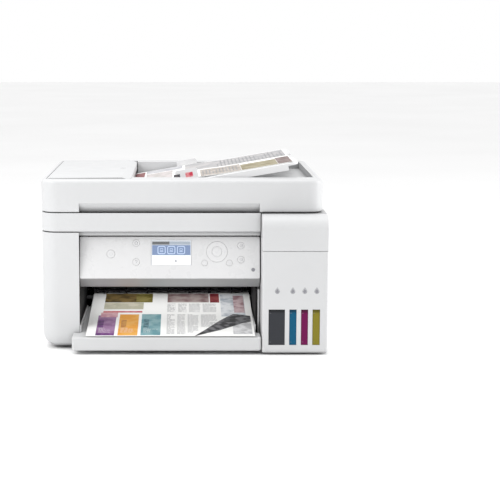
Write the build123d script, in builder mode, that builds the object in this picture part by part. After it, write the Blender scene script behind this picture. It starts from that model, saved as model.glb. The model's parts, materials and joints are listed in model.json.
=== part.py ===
"""Ink tank inkjet printer with a document feeder, as an assembly of separate sub-parts.

Millimetres, +Z up. The front faces -Y and the origin is the middle of the footprint, on the table.
Depths inside the printer are given by deep(d), measured back from the front face of the casing.
"""

from build123d import *
import math
import os

os.makedirs("parts", exist_ok=True)

# ---------------------------------------------------------------- driving dimensions
LEFT, RIGHT = -187.5, 183.5  # casing, scanner and document cover
FRONT, BACK = -141.5, 170.5
CORNER = 22.0  # plan radius of the casing's upright corners
WALL = 2.5
GAP = 0.5  # between shells that never move apart

CASE_BOTTOM, CASE_TOP = 2.0, 156.4
SCAN_BOTTOM, SCAN_TOP = 157.4, 182.2
COVER_BOTTOM, COVER_TOP = 183.2, 226.2
HINGE_R, HINGE_PIN_R, RUNNING = 3.0, 1.5, 0.06

OPEN_LEFT, OPEN_RIGHT = -137.5, 101.0  # the front opening between the left column and the tanks
BAY_TOP = 84.0

TANK_LEFT, TANK_RIGHT = 102.0, 187.5
TANK_FRONT, TANK_BACK = -173.5, -88.5
TANK_BOTTOM, TANK_TOP = 2.5, 181.7
NOTCH_BACK = TANK_BACK + 1.0
LID_SEAM = 136.0
WINDOW_LOW, WINDOW_HIGH = 13.0, 60.0
TANK_COLOURS = {  # window's left and right edge, tank's left and right side
    "black": ((110.4, 131.6), (106.0, 135.2)),
    "cyan": ((137.4, 146.7), (136.0, 150.0)),
    "magenta": ((152.6, 161.7), (150.8, 165.6)),
    "yellow": ((167.5, 177.2), (166.4, 183.0)),
}
DECK_TOP = 130.5
NECK_Y, NECK_R, NECK_TOP = -158.0, 4.2, 138.0
CAP_HINGE_Y, CAP_HINGE_Z = -148.5, 141.5

PANEL_LEFT, PANEL_RIGHT = -137.2, 100.6
PANEL_LEAN = 12.0  # degrees back from upright
PANEL_FOOT = (FRONT + 2.0, 95.2)  # lower edge of the panel's face
PANEL_TALL = 55.6
PANEL_HINGE = (FRONT + 23.0, 140.7)

NIP_Z = 47.3  # height of the paper path over the platen
FEED_R, EXIT_R = 8.0, 5.0
GEAR_MODULE, GEAR_X = 1.0, (-150.0, -144.0)
FEED_TEETH, IDLER_TEETH, EXIT_TEETH, PINION_TEETH = 36, 43, 22, 12

CARRIAGE_X = (103.0, 147.0)
BELT_Z, BELT_R, BELT_THICK = 97.0, 6.1, 1.4
PULLEY_X = (-126.0, 165.0)
TUBE_R, TUBE_PITCH, TUBE_X, TUBE_Z = 1.3, 3.2, 172.0, 126.0

LIP_BOTTOM, SHELF_TOP = 5.0, 23.0
CASSETTE_Z = (8.9, 20.0)
LIP_LEFT, LIP_RIGHT = -146.0, 101.0

TRAY_PIVOT_X, TRAY_PIVOT_Z, TRAY_RISE = -58.0, 206.2, 9.8
FEED_COVER_RIGHT = -69.5


def deep(distance):
    """The Y of a point that lies this far behind the casing's front face."""
    return FRONT + distance


# ---------------------------------------------------------------- shared shapes
def block(x, y, z, mode=Mode.ADD):
    """A square block between two corners, in the part being built."""
    with Locations(((x[0] + x[1]) / 2, (y[0] + y[1]) / 2, (z[0] + z[1]) / 2)):
        Box(x[1] - x[0], y[1] - y[0], z[1] - z[0], mode=mode)


def rounded_block(x, y, z, radius, mode=Mode.ADD):
    """A block whose upright edges are rounded."""
    with BuildSketch(Plane.XY.offset(z[0])) as outline:
        with Locations(((x[0] + x[1]) / 2, (y[0] + y[1]) / 2)):
            RectangleRounded(x[1] - x[0], y[1] - y[0], radius)
    extrude(outline.sketch, amount=z[1] - z[0], mode=mode)


def across(points, x, mode=Mode.ADD):
    """A profile of (Y, Z) points carried along X from x[0] to x[1]."""
    with BuildSketch(Plane.YZ.offset(x[0])) as outline:
        with BuildLine():
            Polyline(*points, close=True)
        make_face()
    extrude(outline.sketch, amount=x[1] - x[0], mode=mode)


def along_depth(points, y, mode=Mode.ADD):
    """A profile of (X, Z) points carried back along Y from y[0] to y[1]."""
    with BuildSketch(Plane.XZ.offset(-y[1])) as outline:
        with BuildLine():
            Polyline(*points, close=True)
        make_face()
    extrude(outline.sketch, amount=y[1] - y[0], mode=mode)


def rod_x(x, y, z, radius, mode=Mode.ADD):
    """A round bar or hole along X."""
    with BuildSketch(Plane.YZ.offset(x[0])) as outline:
        with Locations((y, z)):
            Circle(radius)
    extrude(outline.sketch, amount=x[1] - x[0], mode=mode)


def rod_y(x, y, z, radius, mode=Mode.ADD):
    """A round bar or hole along Y."""
    with BuildSketch(Plane.XZ.offset(-y[1])) as outline:
        with Locations((x, z)):
            Circle(radius)
    extrude(outline.sketch, amount=y[1] - y[0], mode=mode)


def rod_z(x, y, z, radius, mode=Mode.ADD):
    """A round bar or hole along Z."""
    with BuildSketch(Plane.XY.offset(z[0])) as outline:
        with Locations((x, y)):
            Circle(radius)
    extrude(outline.sketch, amount=z[1] - z[0], mode=mode)


HINGE_PLACES = (-120.0, 110.0)
FIXED_HALF, PIN_OUT, SIDE_PLAY = 8.0, 6.0, 0.3


def fixed_knuckles(z):
    """The fixed half of a rear hinge: at each place a barrel with a pin out of both ends."""
    for x in HINGE_PLACES:
        rod_x((x - FIXED_HALF, x + FIXED_HALF), BACK, z, HINGE_R)
        rod_x((x - FIXED_HALF - PIN_OUT, x + FIXED_HALF + PIN_OUT), BACK, z, HINGE_PIN_R)


def moving_knuckles(z):
    """The moving half: a bored barrel at each side of the fixed one."""
    for x in HINGE_PLACES:
        for side in (-1, 1):
            near = x + side * (FIXED_HALF + SIDE_PLAY)
            far = x + side * (FIXED_HALF + PIN_OUT + 1.0)
            rod_x((min(near, far), max(near, far)), BACK, z, HINGE_R)
            rod_x((min(near, far) - 1, max(near, far) + 1), BACK, z,
                  HINGE_PIN_R + RUNNING, Mode.SUBTRACT)


def clear_knuckles(z, moving):
    """Room around the other half's barrels in this half's rear wall."""
    room = HINGE_R + 0.4
    for x in HINGE_PLACES:
        if moving:
            spans = [(x - FIXED_HALF - SIDE_PLAY / 2, x + FIXED_HALF + SIDE_PLAY / 2)]
        else:
            outer = FIXED_HALF + PIN_OUT + 1.5
            spans = [(x - outer, x - FIXED_HALF), (x + FIXED_HALF, x + outer)]
        for span in spans:
            rod_x(span, BACK, z, room, Mode.SUBTRACT)


def save(name, part):
    part.label = name
    export_step(part, f"parts/{name}.step")


# ---------------------------------------------------------------- casing
COLUMN_BOTTOM_R = 20.0
PANEL_ROOM = 36.0  # depth behind the front face that the panel swings in
LINTEL_BOTTOM = 151.8
REAR_COVER_X, REAR_COVER_Z = (-110.0, 60.0), (32.0, 128.0)
INLET_X, INLET_Z = -150.0, 40.0
USB_X, LAN_X, PORT_Z = 118.0, 140.0, 60.0
SCREWS = [(-165.0, 24.0), (-165.0, 138.0), (160.0, 24.0), (160.0, 138.0)]

with BuildPart() as outer_case:
    rounded_block((LEFT, RIGHT), (FRONT, BACK), (CASE_BOTTOM, CASE_TOP), CORNER)
    fillet(outer_case.faces().sort_by(Axis.Z)[0].edges(), COLUMN_BOTTOM_R)
    block((OPEN_RIGHT, RIGHT + 1), (FRONT - 1, NOTCH_BACK), (0, CASE_TOP + 1), Mode.SUBTRACT)
    offset(amount=-WALL, openings=outer_case.faces().sort_by(Axis.Z)[-1])
    # front opening: low beside the tray, deeper where the panel swings
    block((OPEN_LEFT, OPEN_RIGHT + 1), (FRONT - 1, deep(18)), (0, BAY_TOP), Mode.SUBTRACT)
    block((OPEN_LEFT, OPEN_RIGHT + 1), (FRONT - 1, deep(PANEL_ROOM)), (BAY_TOP - 6, CASE_TOP + 1),
          Mode.SUBTRACT)
    # lintel and roof over the panel's room, with a tab behind the left column
    block((OPEN_LEFT - 1, OPEN_RIGHT), (deep(7), deep(9.5)), (LINTEL_BOTTOM, CASE_TOP))
    block((OPEN_LEFT - 1, OPEN_RIGHT), (deep(7), deep(PANEL_ROOM + 2)), (CASE_TOP - 2.0, CASE_TOP))
    block((OPEN_LEFT - 8, OPEN_LEFT), (deep(1), deep(9.5)), (LINTEL_BOTTOM, CASE_TOP))
    # the chassis stands in this opening of the floor
    block((-150, 96), (deep(10), BACK - 20), (0, CASE_BOTTOM + WALL + 1), Mode.SUBTRACT)
    block((TUBE_X - 14, TUBE_X + 3), (NOTCH_BACK - 1, NOTCH_BACK + WALL + 1), (TUBE_Z - 3, TUBE_Z + 3),
          Mode.SUBTRACT)
    block(REAR_COVER_X, (BACK - 5, BACK + 1), REAR_COVER_Z, Mode.SUBTRACT)
    block((INLET_X - 14, INLET_X + 14), (BACK - 5, BACK + 1), (INLET_Z - 10, INLET_Z + 10),
          Mode.SUBTRACT)
    for port_x, half in ((USB_X, 7.0), (LAN_X, 9.0)):
        block((port_x - half, port_x + half), (BACK - 5, BACK + 1), (PORT_Z - 8, PORT_Z + 8),
              Mode.SUBTRACT)
    for screw_x, screw_z in SCREWS:
        rod_y(screw_x, (BACK - 5, BACK + 1), screw_z, 1.6, Mode.SUBTRACT)
    with BuildSketch(Plane.XZ.offset(-BACK - 1)):
        with Locations((125, 108)):
            with GridLocations(7.0, 1.0, 9, 1):
                SlotOverall(30.0, 2.6, rotation=90)
    extrude(amount=6, mode=Mode.SUBTRACT)
    with BuildSketch(Plane.YZ.offset(LEFT - 1)):
        with Locations((95, 118)):
            with GridLocations(7.0, 1.0, 12, 1):
                SlotOverall(34.0, 2.6, rotation=90)
    extrude(amount=6, mode=Mode.SUBTRACT)
    fixed_knuckles(SCAN_BOTTOM)
    clear_knuckles(SCAN_BOTTOM, moving=False)
save("outer_case", outer_case.part)

# ---------------------------------------------------------------- inner frame
FLOOR, PLINTH_SKIN = (9.2, 11.2), 6.5
LEFT_WALL, RIGHT_WALL = (-140.5, -138.0), (95.8, 98.3)
CASSETTE_X = (-137.0, 95.0)
SHAFT_POST = (96.5, 99.0)
DECK = (148.0, 150.0)
SEAM = 0.1  # between the frame's separate mouldings
FEED_Y, FEED_Z = deep(230.0), NIP_Z - FEED_R
EXIT_Z = NIP_Z - EXIT_R
TRAIN = GEAR_MODULE * (FEED_TEETH + 2 * IDLER_TEETH + EXIT_TEETH) / 2
EXIT_Y = FEED_Y - math.sqrt(TRAIN**2 - (EXIT_Z - FEED_Z) ** 2)
TRAIN_ANGLE = math.degrees(math.atan2(EXIT_Z - FEED_Z, EXIT_Y - FEED_Y))
IDLER_AWAY = GEAR_MODULE * (FEED_TEETH + IDLER_TEETH) / 2
IDLER_Y = FEED_Y + IDLER_AWAY * math.cos(math.radians(TRAIN_ANGLE))
IDLER_Z = FEED_Z + IDLER_AWAY * math.sin(math.radians(TRAIN_ANGLE))
PINION_ANGLE = TRAIN_ANGLE - 12 * 360 / FEED_TEETH  # a whole number of teeth round
PINION_AWAY = GEAR_MODULE * (FEED_TEETH + PINION_TEETH) / 2
PINION_Y = FEED_Y + PINION_AWAY * math.cos(math.radians(PINION_ANGLE))
PINION_Z = FEED_Z + PINION_AWAY * math.sin(math.radians(PINION_ANGLE))
PICK_Y, PICK_Z, PICK_R = deep(262.0), 29.8, 8.5
SHAFT_R = 3.0

with BuildPart() as base_chassis:
    # hollow plinth that stands in the opening of the casing's floor
    block((-149.5, 95.5), (deep(20), BACK - 20.5), (CASE_BOTTOM, FLOOR[0]))
    block((-146.5, 92.5), (deep(23), BACK - 23.5), (CASE_BOTTOM - 1, PLINTH_SKIN), Mode.SUBTRACT)
    block((-165, 98.3), (deep(20), BACK - 20), FLOOR)
    block((-165, 164), (deep(58), BACK - 20), FLOOR)
    # the cassette slides on the thin floor between the rails
    block((CASSETTE_X[0] - 0.6, CASSETTE_X[1] + 0.6), (deep(0), deep(291)),
          (CASSETTE_Z[0] - 0.5, FLOOR[1] + 1), Mode.SUBTRACT)
    # side walls of the paper bay; the right one is set back where the control panel swings
    block(LEFT_WALL, (deep(2.8), deep(280)), (FLOOR[1] + SEAM, BAY_TOP - 6))
    block(LEFT_WALL, (deep(2.8), deep(239)), (BAY_TOP - 6, DECK[0] - SEAM))
    across([(deep(2), 26), (deep(14), FLOOR[1]), (deep(2), FLOOR[1])], (LEFT_WALL[0] - 1, LEFT_WALL[1] + 1),
           Mode.SUBTRACT)
    block(RIGHT_WALL, (deep(18.5), deep(150) - SEAM), (FLOOR[1] + SEAM, BAY_TOP - 6))
    block(RIGHT_WALL, (deep(PANEL_ROOM + 1), deep(150) - SEAM), (BAY_TOP - 6, DECK[0] - SEAM))
    block((RIGHT_WALL[0] - 1, RIGHT_WALL[1] + 1), (deep(97), deep(153)), (TUBE_Z - 4, TUBE_Z + 4),
          Mode.SUBTRACT)
    # ceiling of the bay and the wall over the paper exit
    block((LEFT_WALL[1] + SEAM, RIGHT_WALL[0] - SEAM), (deep(PANEL_ROOM), deep(152)), (BAY_TOP, BAY_TOP + 2))
    block((LEFT_WALL[1] + SEAM, 178), (deep(150), deep(152)), (60, BAY_TOP))
    # shelf that carries the capping station, and the roller shafts' right post
    block(SHAFT_POST, (deep(152), deep(245)), (FLOOR[1] + SEAM, 46))
    block((SHAFT_POST[1], 164), (deep(152), deep(245)), (38, 40))
    block((162, 164), (deep(152), deep(245)), (FLOOR[1] + SEAM, 38))
    # top deck with the window over the carriage
    block((LEFT + 3, RIGHT_WALL[1]), (deep(PANEL_ROOM + 1), BACK - 4), DECK)
    block((RIGHT_WALL[0], RIGHT - 3.2), (deep(60), BACK - 4), DECK)
    block((-136, 172), (deep(156), deep(272)), (DECK[0] - 1, DECK[1] + 1), Mode.SUBTRACT)
    with Locations((LEFT + 3, BACK - 4), (RIGHT - 3.2, BACK - 4)):
        Cylinder(17.5, 400, mode=Mode.SUBTRACT)
    # bearings
    for shaft_y, shaft_z in ((FEED_Y, FEED_Z), (EXIT_Y, EXIT_Z)):
        rod_x((-141, 100), shaft_y, shaft_z, SHAFT_R + RUNNING, Mode.SUBTRACT)
    rod_x((-141, -137), PICK_Y, PICK_Z, SHAFT_R + RUNNING, Mode.SUBTRACT)
    block((18, 21), (PICK_Y - 6, PICK_Y + 6), (PICK_Z - 7, DECK[0]))
    rod_x((17, 22), PICK_Y, PICK_Z, SHAFT_R + RUNNING, Mode.SUBTRACT)
    rod_x((-141, -137), *PANEL_HINGE, SHAFT_R + RUNNING, Mode.SUBTRACT)
    rod_x((-144, LEFT_WALL[0]), IDLER_Y, IDLER_Z, 4.5)
    rod_x((-151, -144), IDLER_Y, IDLER_Z, SHAFT_R)
save("base_chassis", base_chassis.part)

FOOT_R = 8.0
FEET = [(-158, deep(30)), (-158, deep(280)), (146, deep(280))]
with BuildPart() as rubber_feet:
    for foot_x, foot_y in FEET:
        rod_z(foot_x, foot_y, (0, CASE_BOTTOM), FOOT_R)
    rod_z(145, -150, (0, TANK_BOTTOM), FOOT_R)
    chamfer(rubber_feet.edges().filter_by(lambda e: e.center().Z < 0.1), 1.0)
save("rubber_feet", rubber_feet.part)

with BuildPart() as case_screws:
    for screw_x, screw_z in SCREWS:
        rod_y(screw_x, (BACK - 8, BACK), screw_z, 1.5)
        rod_y(screw_x, (BACK, BACK + 2), screw_z, 3.4)
        with BuildSketch(Plane.XZ.offset(-BACK - 2)):
            with Locations((screw_x, screw_z)):
                Rectangle(3.6, 0.8)
                Rectangle(0.8, 3.6)
        extrude(amount=1.2, mode=Mode.SUBTRACT)
save("case_screws", case_screws.part)

# ---------------------------------------------------------------- ink tanks
TOP_ROUND = 17.0
FIXED_TOP_Y = FRONT + 3.0
LID_BACK = -143.0
LID_HINGE = (-145.5, 175.7)

with BuildPart() as tank_housing:
    block((TANK_LEFT, TANK_RIGHT), (TANK_FRONT, TANK_BACK), (TANK_BOTTOM, TANK_TOP))
    fillet(tank_housing.edges().filter_by(Axis.Z).group_by(Axis.Y)[0], 3.0)
    fillet(tank_housing.edges().group_by(Axis.Z)[0], 2.0)
    block((TANK_LEFT + WALL, TANK_RIGHT - WALL), (TANK_FRONT + WALL, TANK_BACK - WALL),
          (TANK_BOTTOM + WALL, TANK_TOP - WALL), Mode.SUBTRACT)
    # the lid takes the upper front, and its rear edge sweeps a little further back
    block((TANK_LEFT - 1, TANK_RIGHT + 1), (TANK_FRONT - 1, LID_BACK + 1), (LID_SEAM, TANK_TOP + 1),
          Mode.SUBTRACT)
    block((TANK_LEFT - 1, TANK_RIGHT + 1), (LID_BACK, FIXED_TOP_Y), (LID_HINGE[1] - 8, TANK_TOP + 1),
          Mode.SUBTRACT)
    for window, _ in TANK_COLOURS.values():
        block(window, (TANK_FRONT - 1, TANK_FRONT + WALL + 1), (WINDOW_LOW, WINDOW_HIGH), Mode.SUBTRACT)
    # filler deck with a hole round each neck
    block((TANK_LEFT + 1, TANK_RIGHT - 1), (TANK_FRONT + 1, -100), (DECK_TOP - 2.5, DECK_TOP))
    for _, (tank_left, tank_right) in TANK_COLOURS.values():
        neck_x = (tank_left + tank_right) / 2
        rod_z(neck_x, NECK_Y, (DECK_TOP - 4, DECK_TOP + 1), NECK_R + 0.5, Mode.SUBTRACT)
        for side in (-1, 1):
            ear = neck_x + side * 4.6
            block((ear - 0.9, ear + 0.9), (CAP_HINGE_Y - 2.5, CAP_HINGE_Y + 2.5),
                  (DECK_TOP, CAP_HINGE_Z + 2.5))
            rod_x((ear - 2, ear + 2), CAP_HINGE_Y, CAP_HINGE_Z, 1.0 + RUNNING, Mode.SUBTRACT)
    for ear_x in (TANK_LEFT + WALL + 0.3, TANK_RIGHT - WALL - 2.3):
        # the arm stays under the sweep of the lid's rear edge
        block((ear_x, ear_x + 2), (LID_HINGE[0], FIXED_TOP_Y + 1), (LID_HINGE[1] - 6, LID_HINGE[1] - 1.8))
        rod_x((ear_x, ear_x + 2), *LID_HINGE, 3.0)
        rod_x((ear_x - 1, ear_x + 3), *LID_HINGE, HINGE_PIN_R + RUNNING, Mode.SUBTRACT)
    for wall_x in (TANK_LEFT, TANK_RIGHT - WALL):
        block((wall_x, wall_x + WALL), (LID_HINGE[0] + 9, FIXED_TOP_Y + 6), (LID_HINGE[1] - 8, TANK_TOP))
    # sides of the ears, joined to the walls behind the lid's sweep
    block((TANK_LEFT + 1, TANK_LEFT + WALL + 2.3), (FIXED_TOP_Y, FIXED_TOP_Y + 6),
          (LID_HINGE[1] - 7, LID_HINGE[1] + 3))
    block((TANK_RIGHT - WALL - 2.3, TANK_RIGHT - 1), (FIXED_TOP_Y, FIXED_TOP_Y + 6),
          (LID_HINGE[1] - 7, LID_HINGE[1] + 3))
    block((TUBE_X - 14, TUBE_X + 3), (TANK_BACK - WALL - 1, TANK_BACK + 1), (TUBE_Z - 3, TUBE_Z + 3),
          Mode.SUBTRACT)
    # bearing for the control panel's right pin
    rod_x((TANK_LEFT - 1, TANK_LEFT + WALL + 1), *PANEL_HINGE, SHAFT_R + RUNNING, Mode.SUBTRACT)
save("tank_housing", tank_housing.part)

LID_ROUND_CENTRE = (TANK_FRONT + TOP_ROUND, TANK_TOP - TOP_ROUND)


def lid_block(x, inset, mode=Mode.ADD):
    """The lid's side outline, a quarter round between its front and top, moved in by inset."""
    radius = TOP_ROUND - inset
    with BuildSketch(Plane.YZ.offset(x[0])) as outline:
        with BuildLine():
            low = Line((LID_BACK, LID_SEAM + GAP), (TANK_FRONT + inset, LID_SEAM + GAP))
            front = Line(low @ 1, (TANK_FRONT + inset, LID_ROUND_CENTRE[1]))
            curve = JernArc(front @ 1, (0, 1), radius, -90)
            top = Line(curve @ 1, (LID_BACK, TANK_TOP - inset))
            Line(top @ 1, low @ 0)
        make_face()
    extrude(outline.sketch, amount=x[1] - x[0], mode=mode)


with BuildPart() as tank_lid:
    lid_block((TANK_LEFT, TANK_RIGHT), 0)
    lid_block((TANK_LEFT + WALL, TANK_RIGHT - WALL), WALL, Mode.SUBTRACT)
    # the cheeks stop short of the ears that the lid turns on
    for pin_x in ((TANK_LEFT + 1, TANK_LEFT + WALL + 2.6), (TANK_RIGHT - WALL - 2.6, TANK_RIGHT - 1)):
        rod_x(pin_x, *LID_HINGE, HINGE_PIN_R)
    fillet(tank_lid.faces().filter_by(Axis.X).sort_by(Axis.X)[0].edges().filter_by(GeomType.CIRCLE)
           .filter_by(lambda e: e.radius > 10), 1.5)
    fillet(tank_lid.faces().filter_by(Axis.X).sort_by(Axis.X)[-1].edges().filter_by(GeomType.CIRCLE)
           .filter_by(lambda e: e.radius > 10), 1.5)
save("tank_lid", tank_lid.part)

for colour, (window, (tank_left, tank_right)) in TANK_COLOURS.items():
    neck_x = (tank_left + tank_right) / 2
    with BuildPart() as ink_tank:
        block((tank_left, tank_right), (TANK_FRONT + WALL + 0.3, TANK_BACK - WALL - 3), (8, 122))
        fillet(ink_tank.edges().filter_by(Axis.Z), 2.0)
        block((window[0] + 0.2, window[1] - 0.2), (TANK_FRONT + 0.7, TANK_FRONT + WALL + 1),
              (WINDOW_LOW + 0.2, WINDOW_HIGH - 0.2))
        rod_z(neck_x, NECK_Y, (121, NECK_TOP), NECK_R)
        rod_z(neck_x, NECK_Y, (NECK_TOP - 9, NECK_TOP + 1), NECK_R - 1.4, Mode.SUBTRACT)
    save(f"{colour}_ink_tank", ink_tank.part)

    with BuildPart() as tank_cap:
        rod_z(neck_x, NECK_Y, (NECK_TOP + 0.4, NECK_TOP + 6), 5.4)
        rod_z(neck_x, NECK_Y, (NECK_TOP - 1.2, NECK_TOP + 0.4), NECK_R - 2.2)
        block((neck_x - 2.6, neck_x + 2.6), (NECK_Y + 3, CAP_HINGE_Y + 2), (NECK_TOP + 1.5, NECK_TOP + 5))
        rod_x((neck_x - 2.6, neck_x + 2.6), CAP_HINGE_Y, CAP_HINGE_Z, 2.2)
        rod_x((neck_x - 5.4, neck_x + 5.4), CAP_HINGE_Y, CAP_HINGE_Z, 1.0)
        block((neck_x - 3.4, neck_x + 3.4), (NECK_Y - 8.5, NECK_Y - 3), (NECK_TOP + 3.6, NECK_TOP + 6))
    save(f"{colour}_tank_cap", tank_cap.part)

# ---------------------------------------------------------------- control panel
lean = math.radians(PANEL_LEAN)
panel_plane = Plane(origin=(0, PANEL_FOOT[0], PANEL_FOOT[1]), x_dir=(1, 0, 0),
                    z_dir=(0, -math.cos(lean), math.sin(lean)))
FACE_THICK = 1.6
LCD_CENTRE, LCD_SIZE = (-16.3, 34.6), (53.0, 33.2)
KEY_UP, KEY_DOWN, KEY_PLAY = 0.3, -4.0, 0.25
ROUND_KEYS = {  # place on the panel, radius
    "power_key": ((-96.0, 32.5), 5.2),
    "home_key": ((-62.6, 47.0), 4.4),
    "help_key": ((-62.6, 21.9), 4.4),
    "ok_key": ((44.0, 35.4), 6.0),
    "back_key": ((27.6, 20.6), 3.8),
    "stop_key": ((60.4, 20.6), 3.8),
    "start_mono_key": ((75.6, 43.5), 4.4),
    "start_color_key": ((75.6, 24.9), 4.4),
}
NAV_CENTRE, NAV_R = (44.0, 35.4), (13.6, 7.0)


def on_panel(height):
    return panel_plane.offset(height)


panel_back = FRONT + 30.0
face_top_y = PANEL_FOOT[0] + PANEL_TALL * math.sin(lean)
face_top_z = PANEL_FOOT[1] + PANEL_TALL * math.cos(lean)
BEVEL_BACK, BEVEL_LOW = FRONT + 20.0, 81.0
housing_skin = FACE_THICK / math.cos(lean)
with BuildPart() as panel_housing:
    across([(PANEL_FOOT[0] + housing_skin, PANEL_FOOT[1]), (BEVEL_BACK, BEVEL_LOW),
            (panel_back - 5, BEVEL_LOW + 4), (panel_back, PANEL_HINGE[1]),
            (panel_back - 4, face_top_z - 1.5), (face_top_y + housing_skin, face_top_z - 0.6)],
           (PANEL_LEFT, PANEL_RIGHT))
    fillet(panel_housing.edges().filter_by(Axis.X).group_by(Axis.Z)[0], 1.5)
    # lighten the back with a pocket that the electronics sit in
    across([(PANEL_FOOT[0] + 10, PANEL_FOOT[1] + 5), (panel_back - 8, PANEL_FOOT[1] - 2),
            (panel_back + 1, PANEL_FOOT[1] - 2), (panel_back + 1, PANEL_HINGE[1] - 9),
            (face_top_y + 6, PANEL_HINGE[1] - 9)],
           (PANEL_LEFT + 12, PANEL_RIGHT - 12), Mode.SUBTRACT)
    with BuildSketch(on_panel(0)):
        with Locations(LCD_CENTRE):
            Rectangle(LCD_SIZE[0] + 2, LCD_SIZE[1] + 2)
    extrude(amount=-5, mode=Mode.SUBTRACT)
    with BuildSketch(on_panel(0)):
        for place, radius in ROUND_KEYS.values():
            with Locations(place):
                Circle(radius + 0.6)
        with Locations(NAV_CENTRE):
            Circle(NAV_R[0] + 0.6)
    extrude(amount=-5.6, mode=Mode.SUBTRACT)
    rod_x((PANEL_LEFT - 3, PANEL_LEFT + 4), *PANEL_HINGE, SHAFT_R)
    rod_x((PANEL_RIGHT - 4, PANEL_RIGHT + 3), *PANEL_HINGE, SHAFT_R)
save("panel_housing", panel_housing.part)

with BuildPart() as panel_face:
    with BuildSketch(on_panel(-FACE_THICK)):
        with Locations(((PANEL_LEFT + PANEL_RIGHT) / 2, PANEL_TALL / 2)):
            RectangleRounded(PANEL_RIGHT - PANEL_LEFT, PANEL_TALL, 2.0)
        with Locations(LCD_CENTRE):
            Rectangle(LCD_SIZE[0] + 0.4, LCD_SIZE[1] + 0.4, mode=Mode.SUBTRACT)
        for place, radius in ROUND_KEYS.values():
            if place != NAV_CENTRE:
                with Locations(place):
                    Circle(radius + KEY_PLAY, mode=Mode.SUBTRACT)
        with Locations(NAV_CENTRE):
            Circle(NAV_R[0] + KEY_PLAY, mode=Mode.SUBTRACT)
    extrude(amount=FACE_THICK)
    chamfer(panel_face.faces().sort_by(lambda f: -f.center().Y)[-1].outer_wire().edges(), 0.4)
save("panel_face", panel_face.part)

with BuildPart() as lcd_screen:
    with BuildSketch(on_panel(-4.4)):
        with Locations(LCD_CENTRE):
            Rectangle(*LCD_SIZE)
    extrude(amount=4.1)
save("lcd_screen", lcd_screen.part)

for key_name, (place, radius) in ROUND_KEYS.items():
    with BuildPart() as key:
        with BuildSketch(on_panel(KEY_DOWN)):
            with Locations(place):
                Circle(radius)
        extrude(amount=KEY_UP - KEY_DOWN)
        fillet(key.faces().sort_by(lambda f: f.center().Y)[0].edges(), 0.25)
    save(key_name, key.part)

with BuildPart() as nav_pad:
    with BuildSketch(on_panel(KEY_DOWN)):
        with Locations(NAV_CENTRE):
            Circle(NAV_R[0])
            Circle(NAV_R[1], mode=Mode.SUBTRACT)
    extrude(amount=KEY_UP - KEY_DOWN)
    fillet(nav_pad.faces().sort_by(lambda f: f.center().Y)[0].edges(), 0.25)
save("nav_pad", nav_pad.part)

# ---------------------------------------------------------------- cassette and output tray
CASSETTE_Y = (FRONT - 20.0, deep(288))
SHEET_X = (-129.0, 87.0)
cassette_floor = CASSETTE_Z[0] + 2.0
with BuildPart() as paper_cassette:
    block(CASSETTE_X, CASSETTE_Y, CASSETTE_Z)
    fillet(paper_cassette.edges().filter_by(Axis.Z), 3.0)
    block((CASSETTE_X[0] + 3, CASSETTE_X[1] - 3), (deep(4), CASSETTE_Y[1] - 3),
          (cassette_floor, CASSETTE_Z[1] + 1), Mode.SUBTRACT)
    # finger grip under the front
    block((-60, 20), (CASSETTE_Y[0] - 1, CASSETTE_Y[0] + 12), (CASSETTE_Z[0] - 1, CASSETTE_Z[0] + 7),
          Mode.SUBTRACT)
    # side guides, and the sloping lead-in at the back
    for guide_x in (SHEET_X[0] - 2.2, SHEET_X[1] + 0.7):
        block((guide_x, guide_x + 1.5), (deep(120), deep(200)), (cassette_floor - 0.5, CASSETTE_Z[1] - 1))
    across([(CASSETTE_Y[1] - 14, cassette_floor), (CASSETTE_Y[1] - 3, cassette_floor),
            (CASSETTE_Y[1] - 3, CASSETTE_Z[1] - 2)], (CASSETTE_X[0] + 3, CASSETTE_X[1] - 3))
save("paper_cassette", paper_cassette.part)

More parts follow.
